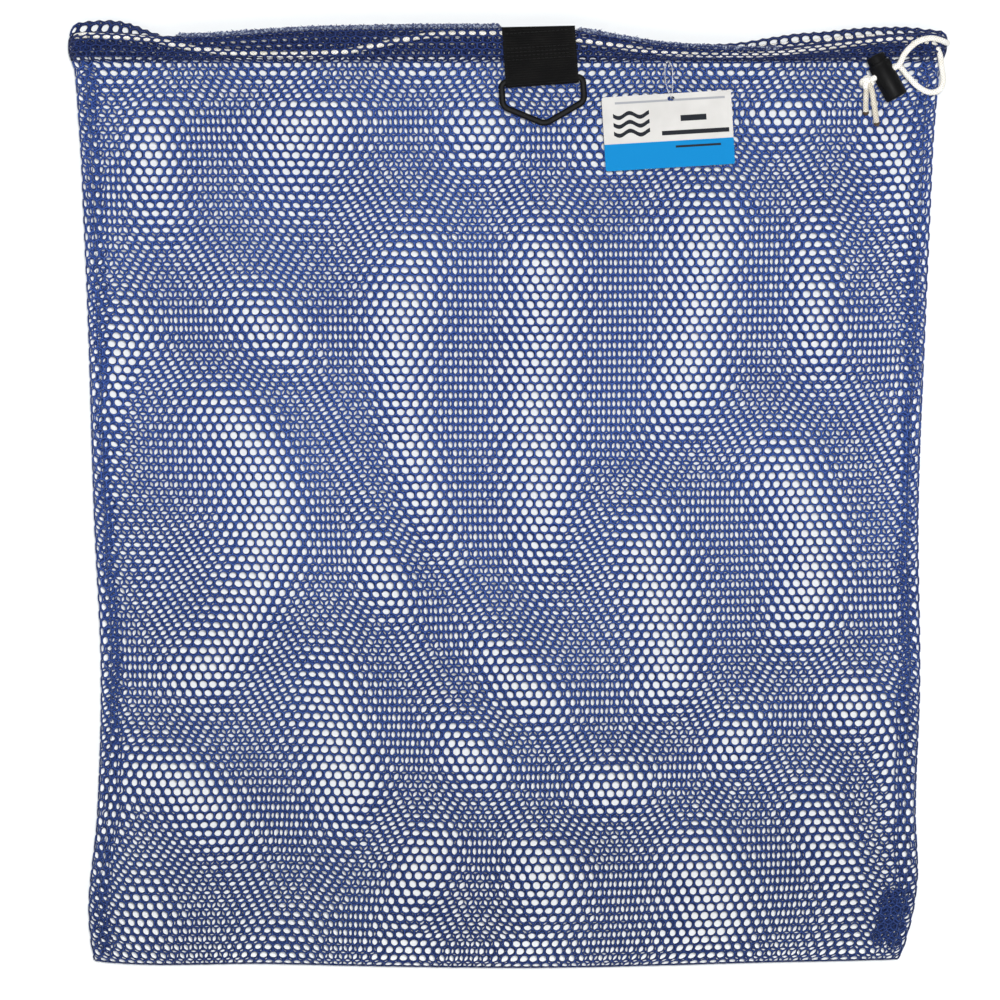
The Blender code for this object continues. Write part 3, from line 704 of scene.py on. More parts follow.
def back_place(c, r):
    """Where the back net's own column and row lie, counted in the front net's."""
    across = c / BACK_COLUMNS * COLUMNS
    up = np.where(r < BACK_ROWS, r / BACK_ROWS * ROWS, ROWS + r - BACK_ROWS)
    x = (across / COLUMNS - 0.5) * CLOTH_WIDTH
    z = NET_TOP + CLOTH_HEIGHT * (np.minimum(up / ROWS, 1) - 1)
    gaps = (x[..., None] - SLIP_POINTS[:, 0]) ** 2 + (z[..., None] - SLIP_POINTS[:, 1]) ** 2
    field = np.exp(-gaps / (2 * SLIP_REACH ** 2)) @ SLIP_WEIGHTS
    inside = fade(across, 0, 7) * fade(COLUMNS - across, 0, 7) * fade(ROWS - up, 0, 8)
    return across + field[..., 0] * inside, up + field[..., 1] * inside * fade(up, 0, 6)


# Hem section from the net's top, up its outer leg, over the fold and down inside, as
# (share of its cloth, depth) and (share of its cloth, share of its height)
HEM_DEPTHS = (
    (0.0, 0.0068), (0.05, 0.0100), (0.13, 0.0120), (0.28, 0.0127), (0.40, 0.0117), (0.50, 0.0086),
    (0.60, 0.0054), (0.76, 0.0046), (1.0, 0.0044),
)
HEM_HEIGHTS = (
    (0.0, 0.0), (0.05, 0.07), (0.13, 0.22), (0.28, 0.56), (0.40, 0.84), (0.50, 1.0), (0.60, 0.84),
    (0.76, 0.48), (1.0, 0.05),
)
HEM_RIM = 0.0085
HEM_WIDTH = 0.596


def across_bag(c, z, radius):
    """x of a column at a height, and how open its side rim is."""
    left = line_value(LEFT_EDGE, z)
    right = line_value(RIGHT_EDGE, z)
    cloth = right - left - 2 * radius + math.pi * radius
    from_left = c / COLUMNS * cloth
    inward_left, open_left = rim(np.maximum(from_left, 0), radius)
    inward_right, open_right = rim(np.maximum(cloth - from_left, 0), radius)
    x = np.where(c < COLUMNS / 2, left + inward_left, right - inward_right)
    return x, open_left * open_right


def place_net(c, r, side):
    """Place of net cloth on the front (side -1) or the back (side 1)."""
    x_guess = (c / COLUMNS - 0.5) * CLOTH_WIDTH
    bottom = line_value(BOTTOM_LINE, x_guess)
    inward, open_bottom = rim(r * ROW, RIM_RADIUS)
    full = ROWS * ROW - RIM_RADIUS * (math.pi / 2 - 1)
    z = bottom + inward / full * (NET_TOP - bottom)
    x, open_sides = across_bag(c, z, RIM_RADIUS)
    inner = fade(c, 0, 6) * fade(COLUMNS - c, 0, 6) * fade(r, 0, 8) * fade(ROWS - r, 0, 7)
    depth = NET_DEPTH * open_sides * open_bottom + wrinkle(x, z, side) * inner
    return stack_points(x, side * depth, z)


def place_hem(c, r, side):
    """Place of hem cloth, whose rows go on from the net's."""
    share = (r - ROWS) / (FRONT_HEM_ROWS if side < 0 else BACK_HEM_ROWS)
    x_guess = (c / COLUMNS - 0.5) * HEM_WIDTH
    top = line_value(FRONT_TOP_LINE if side < 0 else BACK_TOP_LINE, x_guess)
    z = NET_TOP + line_value(HEM_HEIGHTS, share) * (top - NET_TOP)
    x, open_sides = across_bag(c, z, HEM_RIM)
    waver = 0.0004 * np.sin(210 * x + 9 * share) * fade(share, 0, 0.2)
    depth = (line_value(HEM_DEPTHS, share) + waver) * open_sides
    return stack_points(x, side * depth, z)


def place_cloth(c, r, side):
    if side > 0:
        c, r = back_place(c, r)
    net = place_net(c, np.minimum(r, ROWS), side)
    hem = place_hem(c, np.maximum(r, ROWS), side)
    return np.where((r > ROWS)[..., None], hem, net)


ALLOWANCE_INSET = 0.0016
ALLOWANCE_COLUMN = 0.0047


def place_allowance(c, r, edge, inward, depth):
    """Place of a seam allowance turned inside beside a side edge."""
    z = line_value(BOTTOM_LINE, np.full_like(c, -inward * 0.27)) + 0.003
    z = z + r / ROWS * (-0.004 - z)
    x = line_value(edge, z) + inward * (ALLOWANCE_INSET + c * ALLOWANCE_COLUMN)
    x = x + 0.0011 * np.sin(95 * z + 2) * np.sin(31 * z)
    y = depth + 0.0007 * np.sin(190 * z + 3 * depth * 1000) + 0.0004 * np.sin(600 * x)
    return stack_points(x, y, z)


HOLE_CORNER = 0.735
HOLE_SIDE = 0.828


def hole_ring(cells, rng, size):
    """Twelve points round the hole of each cell, a little uneven from cell to cell."""
    following = np.roll(CORNERS, -1, 0)
    ring = np.empty((12, 2))
    ring[0::2] = CORNERS * HOLE_CORNER
    ring[1::2] = (CORNERS + following) / 2 * HOLE_SIDE
    scale = size * (1 + rng.uniform(-0.045, 0.045, (len(cells), 1, 1)))
    uneven = 1 + rng.uniform(-0.03, 0.03, (len(cells), 12, 1))
    drift = rng.uniform(-0.02, 0.02, (len(cells), 1, 2))
    return cells[:, None, :] + ring[None] * scale * uneven + drift


def cloth_normals(place, c, r):
    step = 0.05
    along = place(c + step, r) - place(c - step, r)
    up = place(c, r + step) - place(c, r - step)
    return unit(np.cross(along, up))


def rim_faces(corner, nodes):
    """Closing faces of strands that have a cell on one side only."""
    first = corner
    second = np.roll(corner, -1, 1)
    pairs = np.sort(np.stack((first, second), -1).reshape(-1, 2), axis=1)
    _, inverse, counts = np.unique(pairs, axis=0, return_inverse=True, return_counts=True)
    lone = counts[inverse.ravel()] == 1
    a = first.ravel()[lone]
    b = second.ravel()[lone]
    return np.concatenate((np.stack((a, b, b + nodes), -1), np.stack((a, b + nodes, a + nodes), -1)))


def knit(name, cells, place, material, seed, size=1.0, thick=STRAND_HALF):
    """One piece of net: rounded strands round the holes of its (column, row) cells."""
    rng = np.random.default_rng(seed)
    corners = cells[:, None, :] + CORNERS[None]
    keys = np.round(corners.reshape(-1, 2) * (2, 3)).astype(int)
    found, inverse = np.unique(keys, axis=0, return_inverse=True)
    corner = inverse.reshape(-1, 6)
    node_places = found / (2, 3)
    nodes = len(found)
    ring = hole_ring(cells, rng, size)

    c, r = node_places.T
    middle = place(c, r)
    proud = cloth_normals(place, c, r) * thick * (1 + rng.uniform(-0.12, 0.2, nodes))[:, None]
    holes = place(ring[..., 0], ring[..., 1]).reshape(-1, 3)
    vertices = np.concatenate((middle + proud, middle - proud, holes))

    hole = 2 * nodes + np.arange(len(cells) * 12).reshape(-1, 12)
    here, after = corner, np.roll(corner, -1, 1)
    h0, h1, h2 = hole[:, 0::2], hole[:, 1::2], np.roll(hole, -2, 1)[:, 0::2]
    front = np.concatenate([
        np.stack(triple, -1).reshape(-1, 3)
        for triple in ((here, h0, h1), (here, h1, after), (after, h1, h2))
    ])
    back = np.where(front < nodes, front + nodes, front)[:, ::-1]
    maps = np.array((
        ((0, 0), (0, 1), (0.5, 1)), ((0, 0), (0.5, 1), (1, 0)), ((1, 0), (0.5, 1), (1, 1))), float)
    front_map = np.repeat(maps, corner.size, axis=0)
    edge = rim_faces(corner, nodes)
    edge_map = np.tile(np.array(((0, 0), (1, 0), (1, 0.2)), float), (len(edge), 1, 1))
    faces = np.concatenate((front, back, edge))
    uvs = np.concatenate((front_map, front_map[:, ::-1], edge_map))
    return mesh_object(name, vertices, faces, material, uvs)


def cell_grid(columns, rows, first_row=0):
    """Centres of the cells of a run of rows; every second row stands half a column over."""
    c, r = np.meshgrid(np.arange(columns), np.arange(first_row, first_row + rows))
    c = c + 0.5 + 0.5 * (r % 2)
    cells = np.stack((c.ravel(), r.ravel() + 2 / 3), -1)
    return cells[cells[:, 0] <= columns - 0.4]


def half_of(cells, half, columns):
    middle = columns / 2
    return cells[cells[:, 0] < middle] if half == "left" else cells[cells[:, 0] >= middle]


NET_NODES = {
    ("front", "left"): ("front_net",), ("front", "right"): ("front_net", "corner_net_right"),
    ("back", "left"): ("back_net",), ("back", "right"): ("back_net", "bottom_fold"),
}
HEM_NODES = {
    ("front", "left"): ("front_hem", "corner_hem_left"),
    ("front", "right"): ("front_hem", "corner_hem_right"),
    ("back", "left"): ("back_hem", "corner_hem_left"), ("back", "right"): ("back_hem",),
}
NET_FLAT = (0.295, 0.630)
HEM_FLAT = (0.300, 0.052)


def build_cloth(knitted, shaded_hem_knit):
    for number, (face, side) in enumerate((("front", -1), ("back", 1))):
        if side < 0:
            columns, rows, hem_rows, hem_size = COLUMNS, ROWS, FRONT_HEM_ROWS, 0.86
        else:
            columns, rows, hem_rows, hem_size = BACK_COLUMNS, BACK_ROWS, BACK_HEM_ROWS, 0.96
        net_cells = cell_grid(columns, rows)
        hem_cells = cell_grid(columns, hem_rows - 1, rows)
        for half in ("left", "right"):
            def place(c, r):
                return place_cloth(c, r, side)
            seed = 20 + 2 * number + (half == "right")
            net = knit(
                f"net_{face}_{half}", half_of(net_cells, half, columns), place, knitted, seed)
            # The hems take the darker copy of the knit, which is painted shade
            hem = knit(
                f"hem_{face}_{half}", half_of(hem_cells, half, columns), place, shaded_hem_knit, seed + 10,
                size=hem_size, thick=STRAND_HALF * 1.15)
            for obj, nodes, flat, held in (
                (net, NET_NODES[face, half], NET_FLAT, "hung"),
                (hem, HEM_NODES[face, half], HEM_FLAT, "folded"),
            ):
                fit(obj, half if face == "front" else "bag", "net", *nodes)


def build_allowances(knitted):
    """Turned-in seam allowances, and the gathered cloth of the right bottom corner."""
    for name, edge, inward in SIDES:
        layers = []
        for number, depth in enumerate((-0.0028, 0.0, 0.0028)):
            def place(c, r):
                return place_allowance(c + 0.3 * number, r + 0.37 * number, edge, inward, depth)
            cells = cell_grid(6, ROWS - 1)
            keep = (cells[:, 0] < 2.2) & (number == 1)
            if name == "right":
                keep |= (np.abs(cells[:, 1] - 4.2) < 3.2) & (cells[:, 0] < 4.2)
            if keep.any():
                layers.append(knit(
                    f"allowance_{name}_{number}", cells[keep], place, knitted, 50 + number,
                    size=0.86))
        seam = join("seam_allowance_" + name, layers)
        fit(seam, "bag", "net", "side_seam_" + name)


# Stitching and raw edge

def stitch_row(name, points, material, radius=0.00035, length=0.0030, gap=0.0009):
    """A row of short stitches along a route, each sinking into the cloth at its ends."""
    route = smooth_route(points, 0.0006)
    along = lengths_along(route)
    stitches = []
    start = 0.0
    while start + length < along[-1]:
        at = np.linspace(start, start + length, 6)
        points = points_at(route, along, at)
        swell = (0.35, 0.85, 1.0, 1.0, 0.85, 0.35)
        stitches.append(tube(name, points, radius, material, sides=7, scale=swell))
        start += length + gap
    return join(name, stitches)


STITCH_LEVEL = -0.0196
STITCH_LIFT = 0.0007


def build_hem_stitching(thread):
    for half, start, end in (("left", -0.286, -0.006), ("right", 0.053, 0.290)):
        x = np.linspace(start, end, 30)
        c = (x / HEM_WIDTH + 0.5) * COLUMNS
        y = place_hem(c, np.full_like(c, ROWS + 0.6), -1)[:, 1] - STITCH_LIFT
        row = stitch_row("hem_stitches_" + half, stack_points(x, y, STITCH_LEVEL), thread)
        fit(row, half, "thread", "hem_stitching_" + half)
    points = stack_points(np.linspace(-0.286, 0.290, 60), 0.0108 + STITCH_LIFT, STITCH_LEVEL)
    row = stitch_row("hem_stitches_back", points, thread)
    fit(row, "bag", "thread", "hem_stitching_back")


def build_side_stitching(thread):
    z = np.linspace(-0.030, -0.636, 60)
    for name, edge, inward in SIDES:
        x = line_value(edge, z) + inward * 0.0078
        points = stack_points(x, -NET_DEPTH - 0.0009, z)
        row = stitch_row("side_stitches_" + name, points, thread)
        fit(row, "bag", "thread", "side_stitching_" + name)


def build_tab_stitching(thread):
    matrix = strap_frame()
    rows = []
    side, front = 0.0228, -0.0020
    for height in (0.0032, 0.0058, 0.0084, 0.0110, 0.0214):
        points = [matrix @ Vector((x, front, height)) for x in (-side, side)]
        rows.append(stitch_row("tab_row", points, thread, 0.00034, 0.0022, 0.0007))
    fit(join("tab_stitches", rows), "front_panel", "black_thread", "strap_stitching")


RAW_ENDS = (("left", -0.228, -0.004), ("right", 0.047, 0.188))
RAW_DEPTH = 0.0096


def raw_level(x):
    """Height of the cut row along the front hem's top."""
    return line_value(FRONT_TOP_LINE, x) + 0.0008 - 0.0016 * fade(x, 0.075, 0.11)


def raw_loops(start, end, fuzz, rng):
    """Cut loops and stray ends that stand up from the cut row."""
    parts = []
    for root in np.arange(start + 0.003, end - 0.003, COLUMN / 2):
        foot = np.array((root + rng.uniform(-0.0008, 0.0008), -0.0098, float(raw_level(root))))
        rise = rng.uniform(0.0006, 0.0017)
        half_width = rng.uniform(0.0007, 0.0013)
        route = smooth_route((
            foot + (-half_width, 0.0004, -0.0004), foot + (-half_width * 0.5, -0.0004, rise * 0.7),
            foot + (rng.uniform(-0.0004, 0.0004), -0.0006, rise),
            foot + (half_width * 0.6, -0.0003, rise * 0.6), foot + (half_width, 0.0004, -0.0004),
        ), 0.0005)
        swell = 0.75 + 0.35 * np.sin(np.linspace(0.3, 2.9, len(route)))
        parts.append(tube("raw", route, rng.uniform(0.00045, 0.0008), fuzz, sides=7, scale=swell))
    for root in rng.uniform(start + 0.003, end - 0.003, int((end - start) / COLUMN * 9)):
        foot = np.array((root, rng.uniform(-0.001, 0.001) - RAW_DEPTH, float(raw_level(root))))
        lean = np.array((rng.normal(0, 0.7), rng.normal(-0.15, 0.5), rng.uniform(0.2, 1.0)))
        reach = rng.uniform(0.0009, 0.0026)
        bend = np.array((rng.normal(0, 0.0005), rng.normal(0, 0.0004), 0.0))
        points = smooth_route((foot, foot + lean * reach * 0.6 + bend, foot + lean * reach), 0.0006)
        parts.append(tube("raw", points, rng.uniform(0.00012, 0.00024), fuzz, sides=5))
    return parts


def build_raw_edge(fuzz):
    """Cut, frayed top row of the front net, left and right of the tab."""
    for number, (half, start, end) in enumerate(RAW_ENDS):
        rng = np.random.default_rng(71 + number)
        x = np.arange(start, end, 0.0008)
        ends = fade(x, start, start + 0.006) * fade(-x, -end, -end + 0.006)
        parts = []
        for strand in range(3):
            phase = 2 * math.pi * (x / COLUMN + strand / 3)
            z = raw_level(x) + 0.0010 * np.sin(phase) * ends + rng.normal(0, 0.00015, len(x))
            y = -RAW_DEPTH - 0.0012 * np.cos(phase) + rng.normal(0, 0.00015, len(x))
            route = stack_points(x, y, z)
            parts.append(tube("raw", route, 0.00062, fuzz, sides=8, scale=0.35 + 0.65 * ends))
        edge = join("raw_edge_" + half, parts + raw_loops(start, end, fuzz, rng))
        fit(edge, half, "net")


# Drawcord

BRAID_LOBES = 6
BRAID_PITCH = 0.0105


def braid(along, angle):
    """Radius of a braided cord: two crossing sets of rounded strands."""
    turn = along * 2 * math.pi / BRAID_PITCH
    first = np.abs(np.cos(BRAID_LOBES / 2 * (angle + turn)))
    second = np.abs(np.cos(BRAID_LOBES / 2 * (angle - turn)))
    return 0.90 + 0.12 * np.maximum(first, second)


def lock_frame():
    foot = Matrix.Translation((0, 0, -LOCK_LENGTH / 2))
    return Matrix.Translation(LOCK_CENTRE) @ Matrix.Rotation(LOCK_TILT, 4, "Y") @ foot


def build_knot(cord):
    """The knot that ties the two strands beside the lock."""
    beside = -BARREL_RADIUS - KNOT_GAP - KNOT_RADIUS
    centre = lock_frame() @ Vector((beside, 0, CORD_HOLE_HEIGHT)) + Vector((-0.0002, 0, -0.0004))
    tilt = Matrix.Rotation(math.radians(24), 3, "X") @ Matrix.Rotation(math.radians(20), 3, "Z")
    route = []
    for number in range(240):
        angle = 2 * math.pi * number / 240
        radius = 0.0023 + 0.0011 * math.cos(3 * angle)
        across, up = radius * math.sin(2 * angle), -radius * math.cos(2 * angle)
        route.append(centre + tilt @ Vector((across, 0.0022 * math.sin(3 * angle), up)))
    knot = tube("knot", route, 0.0019, cord, sides=28, closed=True, relief=braid)
    fit(knot, "bag", "cord", "cord_knot")
    return knot


def build_tail(name, tail, worn, melted):
    """A tail below the knot and its heat-sealed tip."""
    route = smooth_route(tail, 0.0004)
    piece = tube("tail_" + name, route, CORD_RADIUS * 0.95, worn, sides=32, relief=braid)
    fit(piece, "bag", "cord", "cord_tail_" + name)
    direction = unit(route[-1] - route[-3])
    points = route[-1] + np.linspace(-0.0004, 0.0027, 8)[:, None] * direction
    swell = (1.02, 1.06, 1.08, 1.06, 1.0, 0.86, 0.6, 0.2)
    tip = tube("tip_" + name, points, CORD_RADIUS, melted, sides=20, scale=swell)
    fit(tip, "bag", "melted_cord", "cord_tip_" + name)
    return [piece, tip]


def build_strand(name, route, side, cord):
    """A free strand from the hem through the lock."""
    matrix = lock_frame()
    through = [
        matrix @ Vector((x, side * share, CORD_HOLE_HEIGHT))
        for x, share in ((BARREL_RADIUS + 0.003, 1.0), (0.0, 1.0), (-BARREL_RADIUS - 0.0035, 0.8))
    ]
    points = smooth_route([*route, *through], 0.0004)
    strand = tube("strand_" + name, points, CORD_RADIUS * 0.98, cord, sides=32, relief=braid)
    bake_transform(strand)
    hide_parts("cord_strand_" + name)


def build_free_cord(cord, worn, melted):
    knot = build_knot(cord)
    tails = build_tail("left", LEFT_TAIL, worn, melted) + build_tail("right", RIGHT_TAIL, worn, melted)
    build_strand("upper", UPPER_STRAND, -STRAND_SPREAD, cord)
    build_strand("lower", LOWER_STRAND, STRAND_SPREAD, cord)


HELD_CORD_STEP = 0.0016


def build_held_cord(cord):
    """The drawcord inside the hems, which the mesh shows through its holes."""
    for half, start, end in (("left", CORNER_X + 0.001, 0.022), ("right", 0.0225, 0.2860)):
        x = np.arange(start, end, HELD_CORD_STEP)
        route = stack_points(x, -HEM_DEPTH, line_value(FRONT_CORD_LINE, x))
        obj = tube("hem_cord_" + half, route, CORD_RADIUS, cord, sides=16)
        fit(obj, half, "cord", "drawcord_front")
    angle = -math.pi / 2 - math.pi * np.arange(16) / 16
    turn_x = CORNER_X + HEM_DEPTH * np.cos(angle)
    turn = stack_points(turn_x, HEM_DEPTH * np.sin(angle), line_value(FRONT_CORD_LINE, CORNER_X))
    x = np.arange(-0.286, 0.2960, HELD_CORD_STEP)
    run = stack_points(x, HEM_DEPTH, line_value(BACK_CORD_LINE, x))
    obj = tube("hem_cord_back", np.concatenate((turn, run)), CORD_RADIUS, cord, sides=16)
    fit(obj, "bag", "cord", "drawcord_back")


# Tab and ring

def strap_frame():
    return Matrix.Translation(STRAP_HINGE) @ Matrix.Rotation(-STRAP_TILT, 4, "Y")


def strap_path():
    """The webbing's run down its front, round the ring's bar and up behind, as (y, z)."""
    down = [
        (-0.0009, 0.0256), (-0.0009, 0.014), (-0.0009, 0.003), (-0.0013, -0.001),
        (-0.0023, -0.0055), (-0.0032, -0.0100),
    ]
    radius = RING_BAR / 2 + 0.0011
    for number in range(7):
        angle = math.pi + math.pi * number / 6
        down.append((radius * math.cos(angle), -LOOP_DROP + radius * math.sin(angle)))
    up = [(-y, z) for y, z in reversed(down[:6])]
    return smooth_route([(0.0, y, z) for y, z in down + up], 0.00022)


def build_strap(webbing):
    """Two-inch webbing with weft ribs, thick selvedges and a turned-up loop."""
    half, thick, rib = 0.025, 0.00072, 0.0017
    route = strap_path()
    normal = np.cross(unit(np.gradient(route, axis=0)), np.array((1.0, 0.0, 0.0)))
    ribs_along = lengths_along(route) / rib
    across = np.linspace(-1, 1, 21)
    rings = []
    for face, places in ((1.0, across), (-1.0, across[::-1])):
        for a in places:
            selvedge = 1.0 + 0.22 * math.exp(-((1 - abs(a)) / 0.05) ** 2)
            rounding = math.sqrt(max(0.0, 1 - max(0.0, abs(a) - 0.985) ** 2 / 0.015 ** 2 * 0.6))
            ribs = 1.0 + 0.22 * np.sin(2 * math.pi * ribs_along + (0.9 if face > 0 else 2.2))
            offset = face * thick * selvedge * rounding * ribs
            point = route + normal * offset[:, None]
            point[:, 0] = a * half * (1 + 0.004 * np.sin(2 * math.pi * ribs_along))
            point[:, 2] *= np.where(point[:, 2] > 0, 0.98 - 1.9 * point[:, 0], 1)
            rings.append(point)
    matrix = np.array(strap_frame())
    rings = np.stack(rings, 1) @ matrix[:3, :3].T + matrix[:3, 3]
    around = np.concatenate((across, across[::-1], across[:1]))
    strap = ring_surface("webbing_tab", rings, ribs_along, around, webbing)
    close_ends(strap)
    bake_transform(strap)
    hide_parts("strap_top", "strap_loop")


def rounded_corners(corners, radii, steps):
    """Points round a closed outline with an arc at each corner."""
    points = []
    count = len(corners)
    for index, corner in enumerate(corners):
        corner = Vector(corner)
        to_before = (Vector(corners[index - 1]) - corner).normalized()
        to_after = (Vector(corners[(index + 1) % count]) - corner).normalized()
        half_angle = to_before.angle(to_after) / 2
        bisector = (to_before + to_after).normalized()
        centre = corner + bisector * (radii[index] / math.sin(half_angle))
        reach = radii[index] / math.tan(half_angle)
        start = (corner + to_before * reach - centre).normalized()
        end = (corner + to_after * reach - centre).normalized()
        for number in range(steps + 1):
            points.append(centre + radii[index] * start.slerp(end, number / steps))
    return points


def even_loop(points, count):
    """A closed outline as evenly spaced points."""
    closed = np.array([tuple(point) for point in points] + [tuple(points[0])])
    along = lengths_along(closed)
    return points_at(closed, along, np.linspace(0, along[-1], count, endpoint=False))


def ring_section(along, angle):
    """A moulded ring's section: squarer than a circle, with a fine parting ridge."""
    square = 1.0 / (np.abs(np.cos(angle)) ** 3.0 + np.abs(np.sin(angle)) ** 3.0) ** (1 / 3.0)
    ridge = 0.022 * np.exp(-(np.abs(np.sin(angle)) / 0.10) ** 2)
    return square * 0.93 + ridge + 0 * along


def build_ring(plastic):
    corners = (
        (-RING_HALF_WIDTH, 0.0, 0.0), (-RING_HALF_WIDTH, 0.0, -RING_SIDE),
        (0.0, 0.0, -RING_HEIGHT - 0.0014), (RING_HALF_WIDTH, 0.0, -RING_SIDE),
        (RING_HALF_WIDTH, 0.0, 0.0),
    )
    outline = rounded_corners(corners, (0.004, 0.006, 0.008, 0.006, 0.004), 12)
    matrix = strap_frame() @ Matrix.Translation((0.0, 0.0, -LOOP_DROP))
    route = even_loop([matrix @ point for point in outline], 260)
    ring = tube("moulded_ring", route, RING_BAR / 2, plastic, sides=28, closed=True,
                relief=ring_section, flat=0.96)
    fit(ring, "ring", "black_plastic", "d_ring")


# Hang tag

def apply_cut(obj, cutter):
    """Cuts obj with cutter and keeps the result as obj's own mesh."""
    modifier = obj.modifiers.new("cut", "BOOLEAN")
    modifier.operation = "DIFFERENCE"
    modifier.solver = "EXACT"
    modifier.object = cutter
    bpy.context.view_layer.update()
    evaluated = obj.evaluated_get(bpy.context.evaluated_depsgraph_get())
    mesh = bpy.data.meshes.new_from_object(evaluated)
    obj.modifiers.clear()
    obj.data = mesh
    bpy.data.objects.remove(cutter, do_unlink=True)


def rounded_rectangle(low, high, radius, steps):
    """A rectangle's outline with rounded corners, from its low to its high corner."""
    corners = ((low[0], low[1]), (high[0], low[1]), (high[0], high[1]), (low[0], high[1]))
    corners = [(across, 0.0, up) for across, up in corners]
    return [(point.x, point.z) for point in rounded_corners(corners, (radius,) * 4, steps)]


def prism(near, far):
    """A solid between two like outlines."""
    bm = bmesh.new()
    near = [bm.verts.new(point) for point in near]
    far = [bm.verts.new(point) for point in far]
    bm.faces.new(near)
    bm.faces.new(reversed(far))
    for index in range(len(near)):
        after = (index + 1) % len(near)
        bm.faces.new((near[after], near[index], far[index], far[after]))
    return bm


def flat_prism(outline, reach):
    """An (x, z) outline that reaches equally far in front and behind."""
    return prism([(x, -reach, z) for x, z in outline], [(x, reach, z) for x, z in outline])


def build_tag(printed, plain, clear_plastic):
    width, height, thickness = CARD_SIZE
    corner = (width / 2, height / 2)
    outline = rounded_rectangle((-corner[0], -corner[1]), corner, 0.0015, 8)
    bm = flat_prism(outline, thickness / 2)
    sharp = [edge for edge in bm.edges if abs(edge.verts[0].co.y - edge.verts[1].co.y) < 1e-9]
    bmesh.ops.bevel(bm, geom=sharp, offset=0.00008, segments=2, affect="EDGES")
    tilt = Matrix.Rotation(-CARD_TILT, 4, "Y")
    matrix = Matrix.Translation(CARD_CENTRE) @ tilt
    bm.transform(matrix)
    card = object_from_bmesh("tag_card", bm, plain)
    bm = flat_prism(rounded_rectangle((-0.0024, -0.0015), (0.0024, 0.0015), 0.00149, 8), 0.002)
    bm.transform(Matrix.Translation(CARD_SLOT) @ tilt)
    apply_cut(card, object_from_bmesh("slot_cutter", bm, plain))
    card.data.materials.clear()
    card.data.materials.append(plain)
    card.data.materials.append(printed)
    inverse = matrix.inverted()
    layer = card.data.uv_layers.new(name="Face")
    card.data.shade_flat()
    for polygon in card.data.polygons:
        polygon.material_index = 1 if polygon.normal.y < -0.9 else 0
        for loop in polygon.loop_indices:
            local = inverse @ card.data.vertices[card.data.loops[loop].vertex_index].co
            layer.uv[loop].vector = (local.x / width + 0.5, local.z / height + 0.5)
    fit(card, "tag", "card", "hang_tag")

    route = smooth_route(TAG_LOOP, 0.0006, closed=True)
    loop = tube("tag_loop", route, 0.0004, clear_plastic, sides=12, closed=True)
    fit(loop, "tag", "clear_plastic", "tag_pin")


# Cord lock

def turned(name, profile, material, segments=72):
    """Turns an (r, z) profile that starts and ends on the lock's axis."""
    bm = bmesh.new()
    rings = []
    for radius, z in profile:
        if radius == 0.0:
            rings.append([bm.verts.new((0.0, 0.0, z))] * segments)
            continue
        ring = []
        for number in range(segments):
            angle = 2 * math.pi * number / segments
            ring.append(bm.verts.new((radius * math.cos(angle), radius * math.sin(angle), z)))
        rings.append(ring)
    for ring, following in zip(rings, rings[1:]):
        for index in range(segments):
            after = (index + 1) % segments
            corners = (ring[index], ring[after], following[after], following[index])
            bm.faces.new(dict.fromkeys(corners))
    bm.transform(lock_frame())
    return object_from_bmesh(name, bm, material)


def cut_cord_slot(obj, low, high):
    """Cuts a slot across the lock for both strands, side by side in Y."""
    half = CORD_SLOT_WIDTH / 2
    outline = rounded_rectangle((-half, low), (half, high), CORD_SLOT_CORNER, 10)
    reach = BARREL_RADIUS + 0.003
    bm = prism([(-reach, y, z) for y, z in outline], [(reach, y, z) for y, z in outline])
    bm.transform(lock_frame())
    apply_cut(obj, object_from_bmesh("cutter", bm, obj.data.materials[0]))


def build_barrel(plastic):
    profile = (
        (0.0, -0.0018), (0.0052, -0.0018), (0.0056, -0.0015), (0.0064, -0.0015), (0.0071, -0.0017),
        (0.0076, -0.0013), (BARREL_RADIUS, -0.0006), (BARREL_RADIUS, 0.0226), (0.00768, 0.0229),
        (0.00768, 0.0233), (BARREL_RADIUS, 0.0236), (BARREL_RADIUS, 0.0244), (0.00765, 0.0248),
        (0.0073, BARREL_LENGTH), (0.0070, BARREL_LENGTH), (BORE_RADIUS, 0.0248),
        (BORE_RADIUS, 0.002), (0.0, 0.002),
    )
    barrel = turned("lock_body", profile, plastic)
    low, high = CORD_HOLE_HEIGHT - CORD_HOLE_HALF, CORD_HOLE_HEIGHT + CORD_HOLE_HALF
    cut_cord_slot(barrel, low, high)
    fit(barrel, "cord_lock", "black_plastic", "lock_barrel")


def build_plunger(plastic):
    """The plunger, whose cord slot is longer than the barrel's by the button's travel."""
    profile = (
        (0.0, PLUNGER_FOOT), (0.0058, PLUNGER_FOOT), (PLUNGER_RADIUS, PLUNGER_FOOT + 0.0007),
        (PLUNGER_RADIUS, 0.0292), (0.0064, 0.0299), (0.0060, 0.0304), (0.0054, 0.0307),
        (0.0048, 0.0308), (0.0044, 0.0306), (0.0038, 0.0306), (0.0034, 0.0308), (0.0018, 0.0310),
        (0.0, LOCK_LENGTH),
    )
    plunger = turned("lock_push_button", profile, plastic)
    low, high = CORD_HOLE_HEIGHT - CORD_HOLE_HALF - 0.0002, CORD_HOLE_HEIGHT + CORD_HOLE_HALF + 0.0006
    cut_cord_slot(plunger, low, high + BUTTON_TRAVEL)
    fit(plunger, "lock_button", "black_plastic", "lock_plunger")


